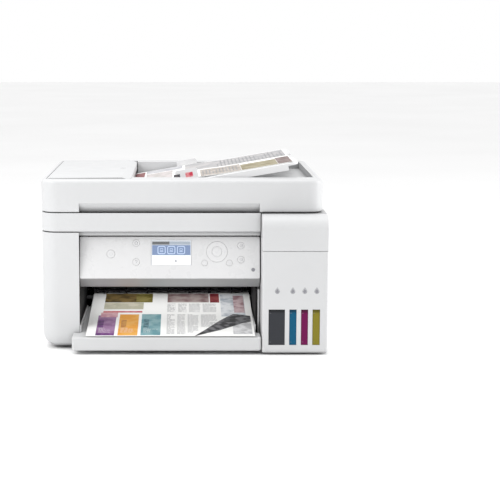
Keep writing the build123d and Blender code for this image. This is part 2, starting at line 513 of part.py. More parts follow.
STOPPER_X, STOPPER_Y = (-52.0, 8.0), (TANK_FRONT + 5.0, TANK_FRONT + 29.0)
STOPPER_AXIS = (TANK_FRONT + 7.5, SHELF_TOP - 1.4)
SHELF_THICK, RIM_TALL, RIM_WIDE, TRAY_BACK = 2.5, 10.0, 1.6, deep(148)
with BuildPart() as output_tray:
    # wide lip and shelf in front of the casing
    rounded_block((LIP_LEFT, LIP_RIGHT), (TANK_FRONT, TANK_FRONT + 9), (LIP_BOTTOM, SHELF_TOP), 3.5)
    block((LIP_LEFT, LIP_RIGHT), (TANK_FRONT + 4, FRONT - 1.0), (SHELF_TOP - SHELF_THICK, SHELF_TOP))
    block((LIP_LEFT, CASSETTE_X[0] - 1.2), (TANK_FRONT + 4, FRONT - 1.0), (LIP_BOTTOM, SHELF_TOP))
    fillet(output_tray.edges().filter_by(Axis.X).group_by(Axis.Z)[0].group_by(Axis.Y)[0], 3.0)
    fillet(output_tray.edges().filter_by(Axis.X).group_by(Axis.Z)[-1].group_by(Axis.Y)[0], 2.0)
    # floor that climbs towards the rollers, with a rim down each side
    inside = (OPEN_LEFT + 0.4, RIGHT_WALL[0] - 0.6)
    across([(FRONT - 1.5, SHELF_TOP - SHELF_THICK), (FRONT - 1.5, SHELF_TOP), (FRONT, SHELF_TOP),
            (TRAY_BACK, SHELF_TOP + 8), (TRAY_BACK, SHELF_TOP + 8 - SHELF_THICK),
            (deep(30), SHELF_TOP - SHELF_THICK)], inside)
    for rim_x in (inside[0], inside[1] - RIM_WIDE):
        across([(FRONT + 0.5, SHELF_TOP - 1), (FRONT + 0.5, SHELF_TOP + RIM_TALL),
                (TRAY_BACK, SHELF_TOP + 10), (TRAY_BACK, SHELF_TOP + 7)], (rim_x, rim_x + RIM_WIDE))
    # raised ribs that keep the paper off the floor
    for rib_x in (-95, -55, -15, 25, 65):
        across([(FRONT, SHELF_TOP - 1), (deep(6), SHELF_TOP + 1.2), (TRAY_BACK, SHELF_TOP + 9),
                (TRAY_BACK, SHELF_TOP + 7)], (rib_x - 1, rib_x + 1))
    # pocket and bearings of the paper stop
    block((STOPPER_X[0] - 0.4, STOPPER_X[1] + 0.4), (STOPPER_Y[0] - 0.4, STOPPER_Y[1] + 0.4),
          (SHELF_TOP - SHELF_THICK - 1, SHELF_TOP + 1), Mode.SUBTRACT)
    rod_x((STOPPER_X[0] - 0.4, STOPPER_X[1] + 0.4), *STOPPER_AXIS, 3.2, Mode.SUBTRACT)
    rod_x((STOPPER_X[0] - 3.5, STOPPER_X[1] + 3.5), *STOPPER_AXIS, 0.85 + RUNNING, Mode.SUBTRACT)
save("output_tray", output_tray.part)

with BuildPart() as output_stopper:
    block(STOPPER_X, STOPPER_Y, (SHELF_TOP - 2.4, SHELF_TOP - 0.4))
    fillet(output_stopper.edges().filter_by(Axis.Z).group_by(Axis.Y)[-1], 4.0)
    fillet(output_stopper.edges().filter_by(Axis.X).group_by(Axis.Y)[0], 0.9)
    rod_x((STOPPER_X[0] - 3, STOPPER_X[1] + 3), *STOPPER_AXIS, 0.85)
save("output_stopper", output_stopper.part)

# ---------------------------------------------------------------- paper drive
INVOLUTE_STEPS = 4
TOOTH_SLACK = 0.12  # taken off each flank


def gear_outline(teeth, turn):
    """Points of a spur gear's outline, with involute flanks at 20 degrees and a tooth at angle turn."""
    pitch_r = GEAR_MODULE * teeth / 2
    base_r = pitch_r * math.cos(math.radians(20))
    tip_r = pitch_r + 0.92 * GEAR_MODULE
    root_r = pitch_r - 1.2 * GEAR_MODULE
    start_r = max(base_r, root_r + 0.05)

    def spread(radius):
        a = math.acos(min(1.0, base_r / radius))
        return math.tan(a) - a

    half_at_pitch = math.pi / (2 * teeth) - TOOTH_SLACK / pitch_r
    points = []
    for tooth in range(teeth):
        centre = math.radians(turn) + 2 * math.pi * tooth / teeth
        flank = []
        for step in range(INVOLUTE_STEPS + 1):
            radius = start_r + (tip_r - start_r) * step / INVOLUTE_STEPS
            half = half_at_pitch + spread(pitch_r) - spread(radius)
            flank.append((radius, half))
        rise = [(root_r, flank[0][1])] + flank
        for radius, half in rise:
            points.append((radius * math.cos(centre - half), radius * math.sin(centre - half)))
        for radius, half in reversed(rise):
            points.append((radius * math.cos(centre + half), radius * math.sin(centre + half)))
    return points


def gear(y, z, teeth, turn):
    across([(y + a, z + b) for a, b in gear_outline(teeth, turn)], GEAR_X)


with BuildPart() as feed_roller:
    rod_x((GEAR_X[0] - 1, SHAFT_POST[1] - 0.2), FEED_Y, FEED_Z, SHAFT_R)
    for sleeve_x in (-120, -75, -30, 15, 60):
        rod_x((sleeve_x, sleeve_x + 30), FEED_Y, FEED_Z, FEED_R)
    gear(FEED_Y, FEED_Z, FEED_TEETH, TRAIN_ANGLE)
save("feed_roller", feed_roller.part)

with BuildPart() as idler_gear:
    gear(IDLER_Y, IDLER_Z, IDLER_TEETH, TRAIN_ANGLE + 180 + 180 / IDLER_TEETH)
    rod_x((GEAR_X[0] - 1, GEAR_X[1] + 1), IDLER_Y, IDLER_Z, SHAFT_R + RUNNING, Mode.SUBTRACT)
save("idler_gear", idler_gear.part)

with BuildPart() as exit_roller:
    rod_x((GEAR_X[0] - 1, SHAFT_POST[1] - 0.2), EXIT_Y, EXIT_Z, SHAFT_R)
    for sleeve_x in (-118, -88, -58, -28, 2, 32, 62):
        rod_x((sleeve_x, sleeve_x + 12), EXIT_Y, EXIT_Z, EXIT_R)
    gear(EXIT_Y, EXIT_Z, EXIT_TEETH, TRAIN_ANGLE + 180 + 180 / EXIT_TEETH)
save("exit_roller", exit_roller.part)

MOTOR_SHAFT_R = 1.5
with BuildPart() as motor_pinion:
    gear(PINION_Y, PINION_Z, PINION_TEETH, PINION_ANGLE + 180 + 180 / PINION_TEETH)
    rod_x((GEAR_X[0] - 1, GEAR_X[1] + 1), PINION_Y, PINION_Z, MOTOR_SHAFT_R + RUNNING, Mode.SUBTRACT)
save("motor_pinion", motor_pinion.part)

with BuildPart() as pickup_roller:
    rod_x((-143, 22), PICK_Y, PICK_Z, SHAFT_R)
    for tyre_x in (-42, -14):
        rod_x((tyre_x, tyre_x + 16), PICK_Y, PICK_Z, PICK_R)
save("pickup_roller", pickup_roller.part)

STAR_Z, STAR_R = NIP_Z + 0.9 + 4.0, 4.0
with BuildPart() as star_wheels:
    for star_x in (-112, -82, -52, -22, 8, 38, 68):
        rod_x((star_x - 0.5, star_x + 0.5), EXIT_Y, STAR_Z, STAR_R)
    rod_x((-128, 84), EXIT_Y, STAR_Z, 1.2)
    block((-130, 86), (EXIT_Y - 4, EXIT_Y + 4), (STAR_Z + 4.4, STAR_Z + 6.4))
    for hanger_x in (-128, 82):
        block((hanger_x, hanger_x + 2), (EXIT_Y - 2, EXIT_Y + 2), (STAR_Z - 2, STAR_Z + 5))
save("star_wheels", star_wheels.part)

with BuildPart() as platen:
    block((-134, 94), (deep(168), deep(219)), (38.5, 43.5))
    for rib in range(12):
        rib_x = -130 + rib * 20
        block((rib_x, rib_x + 2.4), (deep(168), deep(219)), (43.5, NIP_Z - 0.3))
save("platen", platen.part)

# ---------------------------------------------------------------- carriage and print head
RAIL_X = (-137.0, 178.0)
WEB_Y = deep(240)
with BuildPart() as carriage_rail:
    block(RAIL_X, (WEB_Y, WEB_Y + 1.5), (62, 130))
    block(RAIL_X, (deep(229), WEB_Y + 1.5), (62, 63.5))
    block(RAIL_X, (deep(229), WEB_Y + 1.5), (128.5, 130))
    for shaft_x in PULLEY_X:
        rod_y(shaft_x, (WEB_Y - 1, WEB_Y + 3), BELT_Z, 3.2, Mode.SUBTRACT)
save("carriage_rail", carriage_rail.part)

BELT_Y = (deep(230.5), deep(236.5))
with BuildPart() as carriage_belt:
    for radius, way in ((BELT_R + BELT_THICK, Mode.ADD), (BELT_R, Mode.SUBTRACT)):
        with BuildSketch(Plane.XZ.offset(-BELT_Y[1])):
            with Locations(((PULLEY_X[0] + PULLEY_X[1]) / 2, BELT_Z)):
                SlotCenterToCenter(PULLEY_X[1] - PULLEY_X[0], 2 * radius)
        extrude(amount=BELT_Y[1] - BELT_Y[0], mode=way)
save("carriage_belt", carriage_belt.part)

for pulley_name, pulley_x in zip(("drive_pulley", "idler_pulley"), PULLEY_X):
    with BuildPart() as pulley:
        rod_y(pulley_x, (BELT_Y[0] - 0.2, BELT_Y[1] + 0.2), BELT_Z, BELT_R - 0.3)
        rod_y(pulley_x, (BELT_Y[0] - 1.4, BELT_Y[0] - 0.3), BELT_Z, BELT_R + BELT_THICK + 0.8)
        rod_y(pulley_x, (BELT_Y[0] - 0.3, BELT_Y[0] - 0.1), BELT_Z, BELT_R - 0.3)
        rod_y(pulley_x, (BELT_Y[0] - 2, BELT_Y[1] + 1), BELT_Z, MOTOR_SHAFT_R + RUNNING, Mode.SUBTRACT)
    save(pulley_name, pulley.part)

with BuildPart() as drive_motors:
    rod_y(PULLEY_X[0], (WEB_Y + 1.8, WEB_Y + 28), BELT_Z, 14)
    rod_y(PULLEY_X[0], (BELT_Y[0] - 2, WEB_Y + 3), BELT_Z, MOTOR_SHAFT_R)
    rod_x((-181, -153), PINION_Y, PINION_Z, 13)
    rod_x((-154, -143), PINION_Y, PINION_Z, MOTOR_SHAFT_R)
    # idler pulley's axle and its plate
    rod_y(PULLEY_X[1], (BELT_Y[0] - 2, WEB_Y + 4), BELT_Z, MOTOR_SHAFT_R)
    block((PULLEY_X[1] - 7, PULLEY_X[1] + 7), (WEB_Y + 1.8, WEB_Y + 4), (BELT_Z - 7, BELT_Z + 7))
save("drive_motors", drive_motors.part)

CARRIAGE_MID = sum(CARRIAGE_X) / 2
CLAMP_Z = BELT_Z - BELT_R - BELT_THICK / 2
with BuildPart() as carriage:
    block(CARRIAGE_X, (deep(166), deep(226)), (52, 118))
    fillet(carriage.edges().filter_by(Axis.Z), 3.0)
    fillet(carriage.faces().sort_by(Axis.Z)[-1].edges(), 2.0)
    block(CARRIAGE_X, (deep(215), deep(226)), (110, 132))
    block(CARRIAGE_X, (deep(215), deep(239)), (130.4, 133.4))
    for foot_x in (CARRIAGE_X[0] + 2, CARRIAGE_X[1] - 10):
        block((foot_x, foot_x + 8), (deep(224), deep(239)), (63.9, 68))
    # clamp that grips the lower run of the belt
    block((CARRIAGE_MID - 5, CARRIAGE_MID + 5), (deep(224), deep(237.5)), (CLAMP_Z - 4, CLAMP_Z + 4))
    block((CARRIAGE_MID - 6, CARRIAGE_MID + 6), (BELT_Y[0] - 0.4, BELT_Y[1] + 2),
          (CLAMP_Z - 1.1, CLAMP_Z + 1.1), Mode.SUBTRACT)
    # room for the print head
    block((CARRIAGE_X[0] + 3, CARRIAGE_X[1] - 3), (deep(170), deep(214)), (51, 60), Mode.SUBTRACT)
save("carriage", carriage.part)

with BuildPart() as print_head:
    block((CARRIAGE_X[0] + 3.4, CARRIAGE_X[1] - 3.4), (deep(170.4), deep(213.6)), (50.5, 59.6))
    block((CARRIAGE_X[0] + 8, CARRIAGE_X[1] - 8), (deep(176), deep(208)), (48.6, 50.5))
save("print_head", print_head.part)

with BuildPart() as capping_station:
    block((103, 160), (deep(162), deep(226)), (40, 42.4))
    rounded_block((107, 143), (deep(172), deep(212)), (42.4, 46.0), 3.0)
    rounded_block((109.5, 140.5), (deep(174.5), deep(209.5)), (44.5, 47.0), 2.0, Mode.SUBTRACT)
    block((148, 150), (deep(174), deep(210)), (42.4, 48.0))
save("capping_station", capping_station.part)

# supply tubes: a flat bundle that loops from the tanks to the carriage
with BuildPart() as ink_tubes:
    for lane in range(4):
        step = lane * TUBE_PITCH
        lane_far, lane_near = deep(150) - step, deep(106) + step
        bend = (lane_far - lane_near) / 2
        with BuildLine() as tube_path:
            rise = Line((TUBE_X - step, TANK_BACK - WALL - 2, TUBE_Z),
                        (TUBE_X - step, lane_near - 10, TUBE_Z))
            turn = JernArc(rise @ 1, rise % 1, 10, 90)
            back_run = Line(turn @ 1, (20, lane_near, TUBE_Z))
            loop = JernArc(back_run @ 1, back_run % 1, bend, -180)
            Line(loop @ 1, (CARRIAGE_X[0] + 10, lane_far, TUBE_Z))
        with BuildSketch(Plane(origin=tube_path.line @ 0, z_dir=tube_path.line % 0)):
            Circle(TUBE_R)
        sweep(path=tube_path.line)
save("ink_tubes", ink_tubes.part)

# ---------------------------------------------------------------- electronics
with BuildPart() as main_board:
    block((-120, 60), (deep(50), deep(138)), (92, 93.6))
    for chip_x, chip_y, chip_w, chip_h in ((-60, 80, 26, 2), (-10, 100, 16, 2), (30, 70, 12, 9),
                                           (-100, 110, 14, 11), (45, 125, 10, 7), (-85, 60, 20, 8)):
        block((chip_x, chip_x + chip_w), (deep(chip_y), deep(chip_y) + chip_w * 0.6), (93.6, 93.6 + chip_h))
    for stand_x in (-116, 54):
        block((stand_x, stand_x + 3), (deep(54), deep(134)), (BAY_TOP + 2, 92))
save("main_board", main_board.part)

with BuildPart() as power_supply:
    block((-181, -146), (deep(24), deep(132)), (FLOOR[1] + 5, 78))
    fillet(power_supply.edges().filter_by(Axis.Z), 14.0)
    block((-164, -150), (deep(40), deep(116)), (FLOOR[1], FLOOR[1] + 6))
    for slot in range(7):
        block((-184, -145), (deep(42 + slot * 10), deep(44 + slot * 10)), (70, 79), Mode.SUBTRACT)
save("power_supply", power_supply.part)

with BuildPart() as rear_connectors:
    # mains inlet: a figure of eight socket
    block((INLET_X - 13.6, INLET_X + 13.6), (BACK - 16, BACK + 0.4), (INLET_Z - 9.6, INLET_Z + 9.6))
    with BuildSketch(Plane.XZ.offset(-BACK - 0.4)):
        with Locations((INLET_X, INLET_Z)):
            SlotOverall(19.0, 9.6)
    extrude(amount=12.4, mode=Mode.SUBTRACT)
    for pin_x in (INLET_X - 4.3, INLET_X + 4.3):
        rod_y(pin_x, (BACK - 13, BACK - 2.5), INLET_Z, 1.2)
    block((USB_X - 6.6, USB_X + 6.6), (BACK - 16, BACK + 0.2), (PORT_Z - 7.6, PORT_Z + 7.6))
    block((USB_X - 4.6, USB_X + 4.6), (BACK - 12, BACK + 1), (PORT_Z - 5.6, PORT_Z + 5.6), Mode.SUBTRACT)
    block((USB_X - 2.6, USB_X + 2.6), (BACK - 13, BACK - 3), (PORT_Z - 2, PORT_Z + 2))
    block((LAN_X - 8.6, LAN_X + 8.6), (BACK - 18, BACK + 0.2), (PORT_Z - 7.6, PORT_Z + 7.6))
    block((LAN_X - 6.4, LAN_X + 6.4), (BACK - 14, BACK + 1), (PORT_Z - 4.6, PORT_Z + 4.6), Mode.SUBTRACT)
save("rear_connectors", rear_connectors.part)

# ---------------------------------------------------------------- rear cover with the paper turn
TURN_Z, TURN_R = 33.7, 14.0
with BuildPart() as rear_cover:
    block((REAR_COVER_X[0] + GAP, REAR_COVER_X[1] - GAP), (BACK - WALL, BACK + 2.2),
          (REAR_COVER_Z[0] + GAP, REAR_COVER_Z[1] - GAP))
    fillet(rear_cover.faces().sort_by(Axis.Y)[-1].edges(), 2.0)
    for rib in range(8):
        rib_x = -100 + rib * 21
        block((rib_x, rib_x + 2), (BACK - 20, BACK - WALL), (REAR_COVER_Z[0] + 6, 60))
    with BuildSketch(Plane.YZ.offset(REAR_COVER_X[0])):
        with Locations((BACK - 24, TURN_Z)):
            Circle(TURN_R)
    extrude(amount=REAR_COVER_X[1] - REAR_COVER_X[0], mode=Mode.SUBTRACT)
    for grip_x in (REAR_COVER_X[0] + 20, REAR_COVER_X[1] - 44):
        block((grip_x, grip_x + 24), (BACK + 0.6, BACK + 4), (112, 120), Mode.SUBTRACT)
save("rear_cover", rear_cover.part)

# ---------------------------------------------------------------- scanner
GLASS_X, GLASS_Y = (-166.0, 146.0), (deep(72), deep(292))
STRIP_X = (-180.0, -172.0)
BEZEL_Z = (SCAN_TOP - 3.0, SCAN_TOP)
with BuildPart() as scanner_base:
    rounded_block((LEFT, RIGHT), (FRONT, BACK), (SCAN_BOTTOM, SCAN_TOP), CORNER)
    block((OPEN_RIGHT, RIGHT + 1), (FRONT - 1, NOTCH_BACK), (0, SCAN_TOP + 1), Mode.SUBTRACT)
    fillet(scanner_base.faces().sort_by(Axis.Z)[0].edges().filter_by(
        lambda e: e.center().X < OPEN_RIGHT - 1 and e.center().Y < BACK - 1), 1.8)
    rounded_block((LEFT + WALL, RIGHT - WALL), (FRONT + WALL, BACK - WALL), (SCAN_BOTTOM + 2, SCAN_TOP + 1),
                  CORNER - WALL, Mode.SUBTRACT)
    block((OPEN_RIGHT - WALL, OPEN_RIGHT), (FRONT + 6, NOTCH_BACK + WALL), (SCAN_BOTTOM, SCAN_TOP))
    block((OPEN_RIGHT - WALL, RIGHT - 1), (NOTCH_BACK, NOTCH_BACK + WALL), (SCAN_BOTTOM, SCAN_TOP))
    block((OPEN_RIGHT - WALL, OPEN_RIGHT), (FRONT + 0.5, FRONT + 7), (SCAN_BOTTOM, SCAN_TOP))
    # rail that the scan bar runs on
    block((LEFT + WALL, RIGHT - WALL), (deep(176), deep(184)), (SCAN_BOTTOM + 2, SCAN_BOTTOM + 6))
    moving_knuckles(SCAN_BOTTOM)
    fixed_knuckles(COVER_BOTTOM)
    clear_knuckles(SCAN_BOTTOM, moving=True)
    clear_knuckles(COVER_BOTTOM, moving=False)
save("scanner_base", scanner_base.part)

with BuildPart() as scanner_bezel:
    rounded_block((LEFT + WALL + 0.3, RIGHT - WALL - 0.3), (FRONT + WALL + 0.3, BACK - WALL - 3.6), BEZEL_Z,
                  CORNER - WALL - 0.3)
    block((OPEN_RIGHT - WALL - 0.3, RIGHT + 1), (FRONT - 1, NOTCH_BACK + WALL + 0.3), (170, 190),
          Mode.SUBTRACT)
    for inner_x in (GLASS_X, STRIP_X):
        block(inner_x, GLASS_Y, (170, 190), Mode.SUBTRACT)
        block((inner_x[0] - 1.4, inner_x[1] + 1.4), (GLASS_Y[0] - 1.4, GLASS_Y[1] + 1.4),
              (BEZEL_Z[0] - 1, BEZEL_Z[0] + 1.8), Mode.SUBTRACT)
    for post_y in (deep(30), deep(56), deep(299)):
        for post_x in (-150, 0, 60):
            rod_z(post_x, post_y, (SCAN_BOTTOM + 2, BEZEL_Z[0]), 3.0)
save("scanner_bezel", scanner_bezel.part)

with BuildPart() as scanner_glass:
    for inner_x in (GLASS_X, STRIP_X):
        block((inner_x[0] - 1.1, inner_x[1] + 1.1), (GLASS_Y[0] - 1.1, GLASS_Y[1] + 1.1),
              (BEZEL_Z[0] - 1.2, BEZEL_Z[0] + 1.6))
save("scanner_glass", scanner_glass.part)

BAR_X = (-172.0, -152.0)
with BuildPart() as scan_bar:
    block(BAR_X, (deep(66), deep(293)), (SCAN_BOTTOM + 7, SCAN_TOP - 6.5))
    chamfer(scan_bar.faces().sort_by(Axis.Z)[-1].edges(), 1.2)
    block((-165, -159), (deep(72), deep(288)), (SCAN_TOP - 7.1, SCAN_TOP - 6.0), Mode.SUBTRACT)
    for shoe_y in (deep(175.6) - 3, deep(184.4)):
        block((BAR_X[0] + 2, BAR_X[1] - 2), (shoe_y, shoe_y + 3), (SCAN_BOTTOM + 3, SCAN_BOTTOM + 8))
save("scan_bar", scan_bar.part)

# ---------------------------------------------------------------- document cover and feeder
FEEDER = (-181.0, FEED_COVER_RIGHT + 1.0)
BAY = (FEEDER[1], 172.0)
BAY_Y = (deep(34), deep(280))
BAY_FLOOR = COVER_TOP - 29.0
RAMP_X, RAMP_TOP = (-20.0, 100.0), COVER_TOP - 10.0
RAMP_SKIN = 2.5
ROLLER_X, ROLLER_Z, ROLLER_R = -100.0, COVER_TOP - 14.0, 8.0
COVER_HINGE = (-176.5, COVER_TOP - 2.0)
COVER_Y = (deep(14), deep(296))
with BuildPart() as adf_base:
    rounded_block((LEFT, RIGHT), (FRONT, BACK), (COVER_BOTTOM, COVER_TOP), CORNER)
    fillet(adf_base.faces().sort_by(Axis.Z)[-1].edges(), 5.0)
    fillet(adf_base.faces().sort_by(Axis.Z)[0].edges().filter_by(lambda e: e.center().Y < BACK - 1), 1.8)
    # well of the feeder, under its own cover
    block(FEEDER, (COVER_Y[0] - 0.6, COVER_Y[1] + 0.6), (BAY_FLOOR, COVER_TOP + 1), Mode.SUBTRACT)
    # bay for fed originals
    block((BAY[0] - 1, BAY[1]), BAY_Y, (BAY_FLOOR, COVER_TOP + 1), Mode.SUBTRACT)
    # the bay's floor climbs towards its right end
    along_depth([(RAMP_X[0], BAY_FLOOR - 1), (RAMP_X[0], BAY_FLOOR), (RAMP_X[1], RAMP_TOP),
                 (BAY[1] + 1, RAMP_TOP), (BAY[1] + 1, BAY_FLOOR - 1)], (BAY_Y[0] - 1, BAY_Y[1] + 1))
    # recess of the backing mat and the hollow walls above it
    block((-181, 177), (deep(16), deep(304)), (COVER_BOTTOM - 1, COVER_BOTTOM + 2), Mode.SUBTRACT)
    block((FEEDER[1] + 3, 176), (deep(18), deep(31)), (COVER_BOTTOM, COVER_TOP - 3), Mode.SUBTRACT)
    block((FEEDER[1] + 3, 176), (deep(283), deep(303)), (COVER_BOTTOM, COVER_TOP - 3), Mode.SUBTRACT)
    block((-178, 170), (deep(36), deep(278)), (COVER_BOTTOM, BAY_FLOOR - RAMP_SKIN), Mode.SUBTRACT)
    along_depth([(RAMP_X[0] + 6, BAY_FLOOR - RAMP_SKIN - 1), (RAMP_X[0] + 6, BAY_FLOOR - RAMP_SKIN),
                 (RAMP_X[1] + 1, RAMP_TOP - RAMP_SKIN), (BAY[1] - 2, RAMP_TOP - RAMP_SKIN),
                 (BAY[1] - 2, BAY_FLOOR - RAMP_SKIN - 1)], (deep(36), deep(278)), Mode.SUBTRACT)
    # finger recess along the lower front edge
    across([(FRONT - 1, COVER_BOTTOM + 12), (FRONT, COVER_BOTTOM + 12), (deep(8.5), COVER_BOTTOM - 1),
            (FRONT - 1, COVER_BOTTOM - 1)],
           (OPEN_LEFT + 0.5, OPEN_RIGHT - 1.4), Mode.SUBTRACT)
    # bearings of the pick roller
    for rib_y in (deep(44), deep(272)):
        block((ROLLER_X - 8, ROLLER_X + 8), (rib_y, rib_y + 4), (BAY_FLOOR - 1, ROLLER_Z + 6))
        rod_y(ROLLER_X, (rib_y - 1, rib_y + 5), ROLLER_Z, SHAFT_R + RUNNING, Mode.SUBTRACT)
    # bearings of the feeder cover and of the input tray
    for hole_y in ((COVER_Y[0] - 4, COVER_Y[0]), (COVER_Y[1], COVER_Y[1] + 4)):
        rod_y(COVER_HINGE[0], hole_y, COVER_HINGE[1], 1.6 + RUNNING, Mode.SUBTRACT)
    for hole_y in ((BAY_Y[0] - 3.4, BAY_Y[0] + 1), (BAY_Y[1] - 1, BAY_Y[1] + 3.4)):
        rod_y(TRAY_PIVOT_X, hole_y, TRAY_PIVOT_Z, 2.5 + RUNNING, Mode.SUBTRACT)
    moving_knuckles(COVER_BOTTOM)
    clear_knuckles(COVER_BOTTOM, moving=True)
save("adf_base", adf_base.part)

with BuildPart() as document_mat:
    block((-179.5, 175.5), (deep(17.5), deep(302.5)), (SCAN_TOP + 0.3, COVER_BOTTOM + 1.8))
    fillet(document_mat.edges().filter_by(Axis.Z), 8.0)
save("document_mat", document_mat.part)

COVER_LEFT = FEEDER[0] + 0.4
SIDE_LOW, SLOT_TOP = COVER_TOP - 22.0, COVER_TOP - 11.0
with BuildPart() as adf_cover:
    along_depth([(COVER_LEFT, SIDE_LOW), (COVER_LEFT, COVER_TOP - 0.4), (-176.5, COVER_TOP + 0.7),
                 (FEED_COVER_RIGHT - 12, COVER_TOP + 1.6), (FEED_COVER_RIGHT, COVER_TOP - 1.5),
                 (FEED_COVER_RIGHT, SLOT_TOP), (FEED_COVER_RIGHT - 3, SLOT_TOP), (-86, SIDE_LOW)], COVER_Y)
    fillet(adf_cover.edges().filter_by(Axis.Y).group_by(Axis.X)[-1].sort_by(Axis.Z)[-1], 1.8)
    along_depth([(-176.5, SIDE_LOW - 6), (-176.5, COVER_TOP - 2.4), (FEED_COVER_RIGHT - 12, COVER_TOP - 1.0),
                 (FEED_COVER_RIGHT - 2.5, COVER_TOP - 3.0), (FEED_COVER_RIGHT - 2.5, SIDE_LOW - 6)],
                (COVER_Y[0] + 2.5, COVER_Y[1] - 2.5), Mode.SUBTRACT)
    for pin_y in ((COVER_Y[0] - 3, COVER_Y[0] + 1), (COVER_Y[1] - 1, COVER_Y[1] + 3)):
        rod_y(COVER_HINGE[0], pin_y, COVER_HINGE[1], 1.6)
save("adf_cover", adf_cover.part)

with BuildPart() as adf_pick_roller:
    rod_y(ROLLER_X, (deep(42), deep(278)), ROLLER_Z, SHAFT_R)
    for tyre_y in (deep(136), deep(160)):
        rod_y(ROLLER_X, (tyre_y, tyre_y + 16), ROLLER_Z, ROLLER_R)
save("adf_pick_roller", adf_pick_roller.part)

rise = math.radians(TRAY_RISE)
tray_plane = Plane(origin=(TRAY_PIVOT_X, 0, TRAY_PIVOT_Z), x_dir=(math.cos(rise), 0, math.sin(rise)),
                   z_dir=(-math.sin(rise), 0, math.cos(rise)))
TRAY_LONG, TRAY_LOW, TRAY_HIGH = 214.0, 1.0, 3.6
TRAY_Y = (BAY_Y[0] + 1, BAY_Y[1] - 1)
GUIDE_LONG, GUIDE_SLOT = (50.0, 80.0), (63.0, 67.0)
GUIDE_TALL = {"adf_guide_front": 15.0, "adf_guide_rear": 10.0}
GUIDE_TRAVEL = 50.0
PAPER_HALF = 108.0
TRAY_MID_Y = (TRAY_Y[0] + TRAY_Y[1]) / 2


def on_tray(x, y, z, mode=Mode.ADD):
    """A block in the input tray's own tilted frame."""
    with BuildSketch(tray_plane.offset(z[0])) as outline:
        with Locations(((x[0] + x[1]) / 2, (y[0] + y[1]) / 2)):
            Rectangle(x[1] - x[0], y[1] - y[0])
    extrude(outline.sketch, amount=z[1] - z[0], mode=mode)


with BuildPart() as adf_input_tray:
    on_tray((-1, TRAY_LONG), TRAY_Y, (TRAY_LOW, TRAY_HIGH))
    fillet(adf_input_tray.edges().filter_by(Axis((0, 0, 0), tuple(tray_plane.z_dir)))
           .group_by(Axis.X)[-1], 12.0)
    # skirt under each long edge, and the thumb notch at the far end
    for skirt_y in ((TRAY_Y[0], TRAY_Y[0] + 2.5), (TRAY_Y[1] - 2.5, TRAY_Y[1])):
        on_tray((8, TRAY_LONG - 14), skirt_y, (-5.0, TRAY_LOW + 1))
    with BuildSketch(tray_plane.offset(TRAY_LOW - 1)):
        with Locations((TRAY_LONG + 10, TRAY_MID_Y)):
            Circle(32)
    extrude(amount=6, mode=Mode.SUBTRACT)
    # slots that the edge guides run in
    for side in (-1, 1):
        far = TRAY_MID_Y + side * (PAPER_HALF + 4)
        near = TRAY_MID_Y + side * (PAPER_HALF - GUIDE_TRAVEL - 8)
        on_tray(GUIDE_SLOT, (min(near, far), max(near, far)), (TRAY_LOW - 1, TRAY_HIGH + 1), Mode.SUBTRACT)
    rod_y(TRAY_PIVOT_X, (TRAY_Y[0] - 4, TRAY_Y[0] + 3), TRAY_PIVOT_Z, 2.5)
    rod_y(TRAY_PIVOT_X, (TRAY_Y[1] - 3, TRAY_Y[1] + 4), TRAY_PIVOT_Z, 2.5)
save("adf_input_tray", adf_input_tray.part)

for guide_name, side in (("adf_guide_front", -1), ("adf_guide_rear", 1)):
    wall = TRAY_MID_Y + side * (PAPER_HALF + 0.6)
    outer, inner = wall + side * 2.2, wall - side * 12
    with BuildPart() as guide:
        on_tray(GUIDE_LONG, (min(wall, outer), max(wall, outer)),
                (TRAY_HIGH + 0.3, TRAY_HIGH + GUIDE_TALL[guide_name]))
        fillet(guide.edges().filter_by(Axis.Y), 3.0)
        on_tray((GUIDE_LONG[0] + 6, GUIDE_LONG[1] - 6), (min(outer, inner), max(outer, inner)),
                (TRAY_HIGH + 0.3, TRAY_HIGH + 1.5))
        tongue = wall - side * 6
        on_tray((GUIDE_SLOT[0] + 0.3, GUIDE_SLOT[1] - 0.3), (min(wall, tongue), max(wall, tongue)),
                (TRAY_LOW - 1.4, TRAY_HIGH + 0.4))
    save(guide_name, guide.part)
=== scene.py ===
"""An ink-tank inkjet printer: finishes, marks, paper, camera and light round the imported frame.

Metres throughout. X is to the right, the front faces -Y, and Z is up.
"""

import json
import math
import random

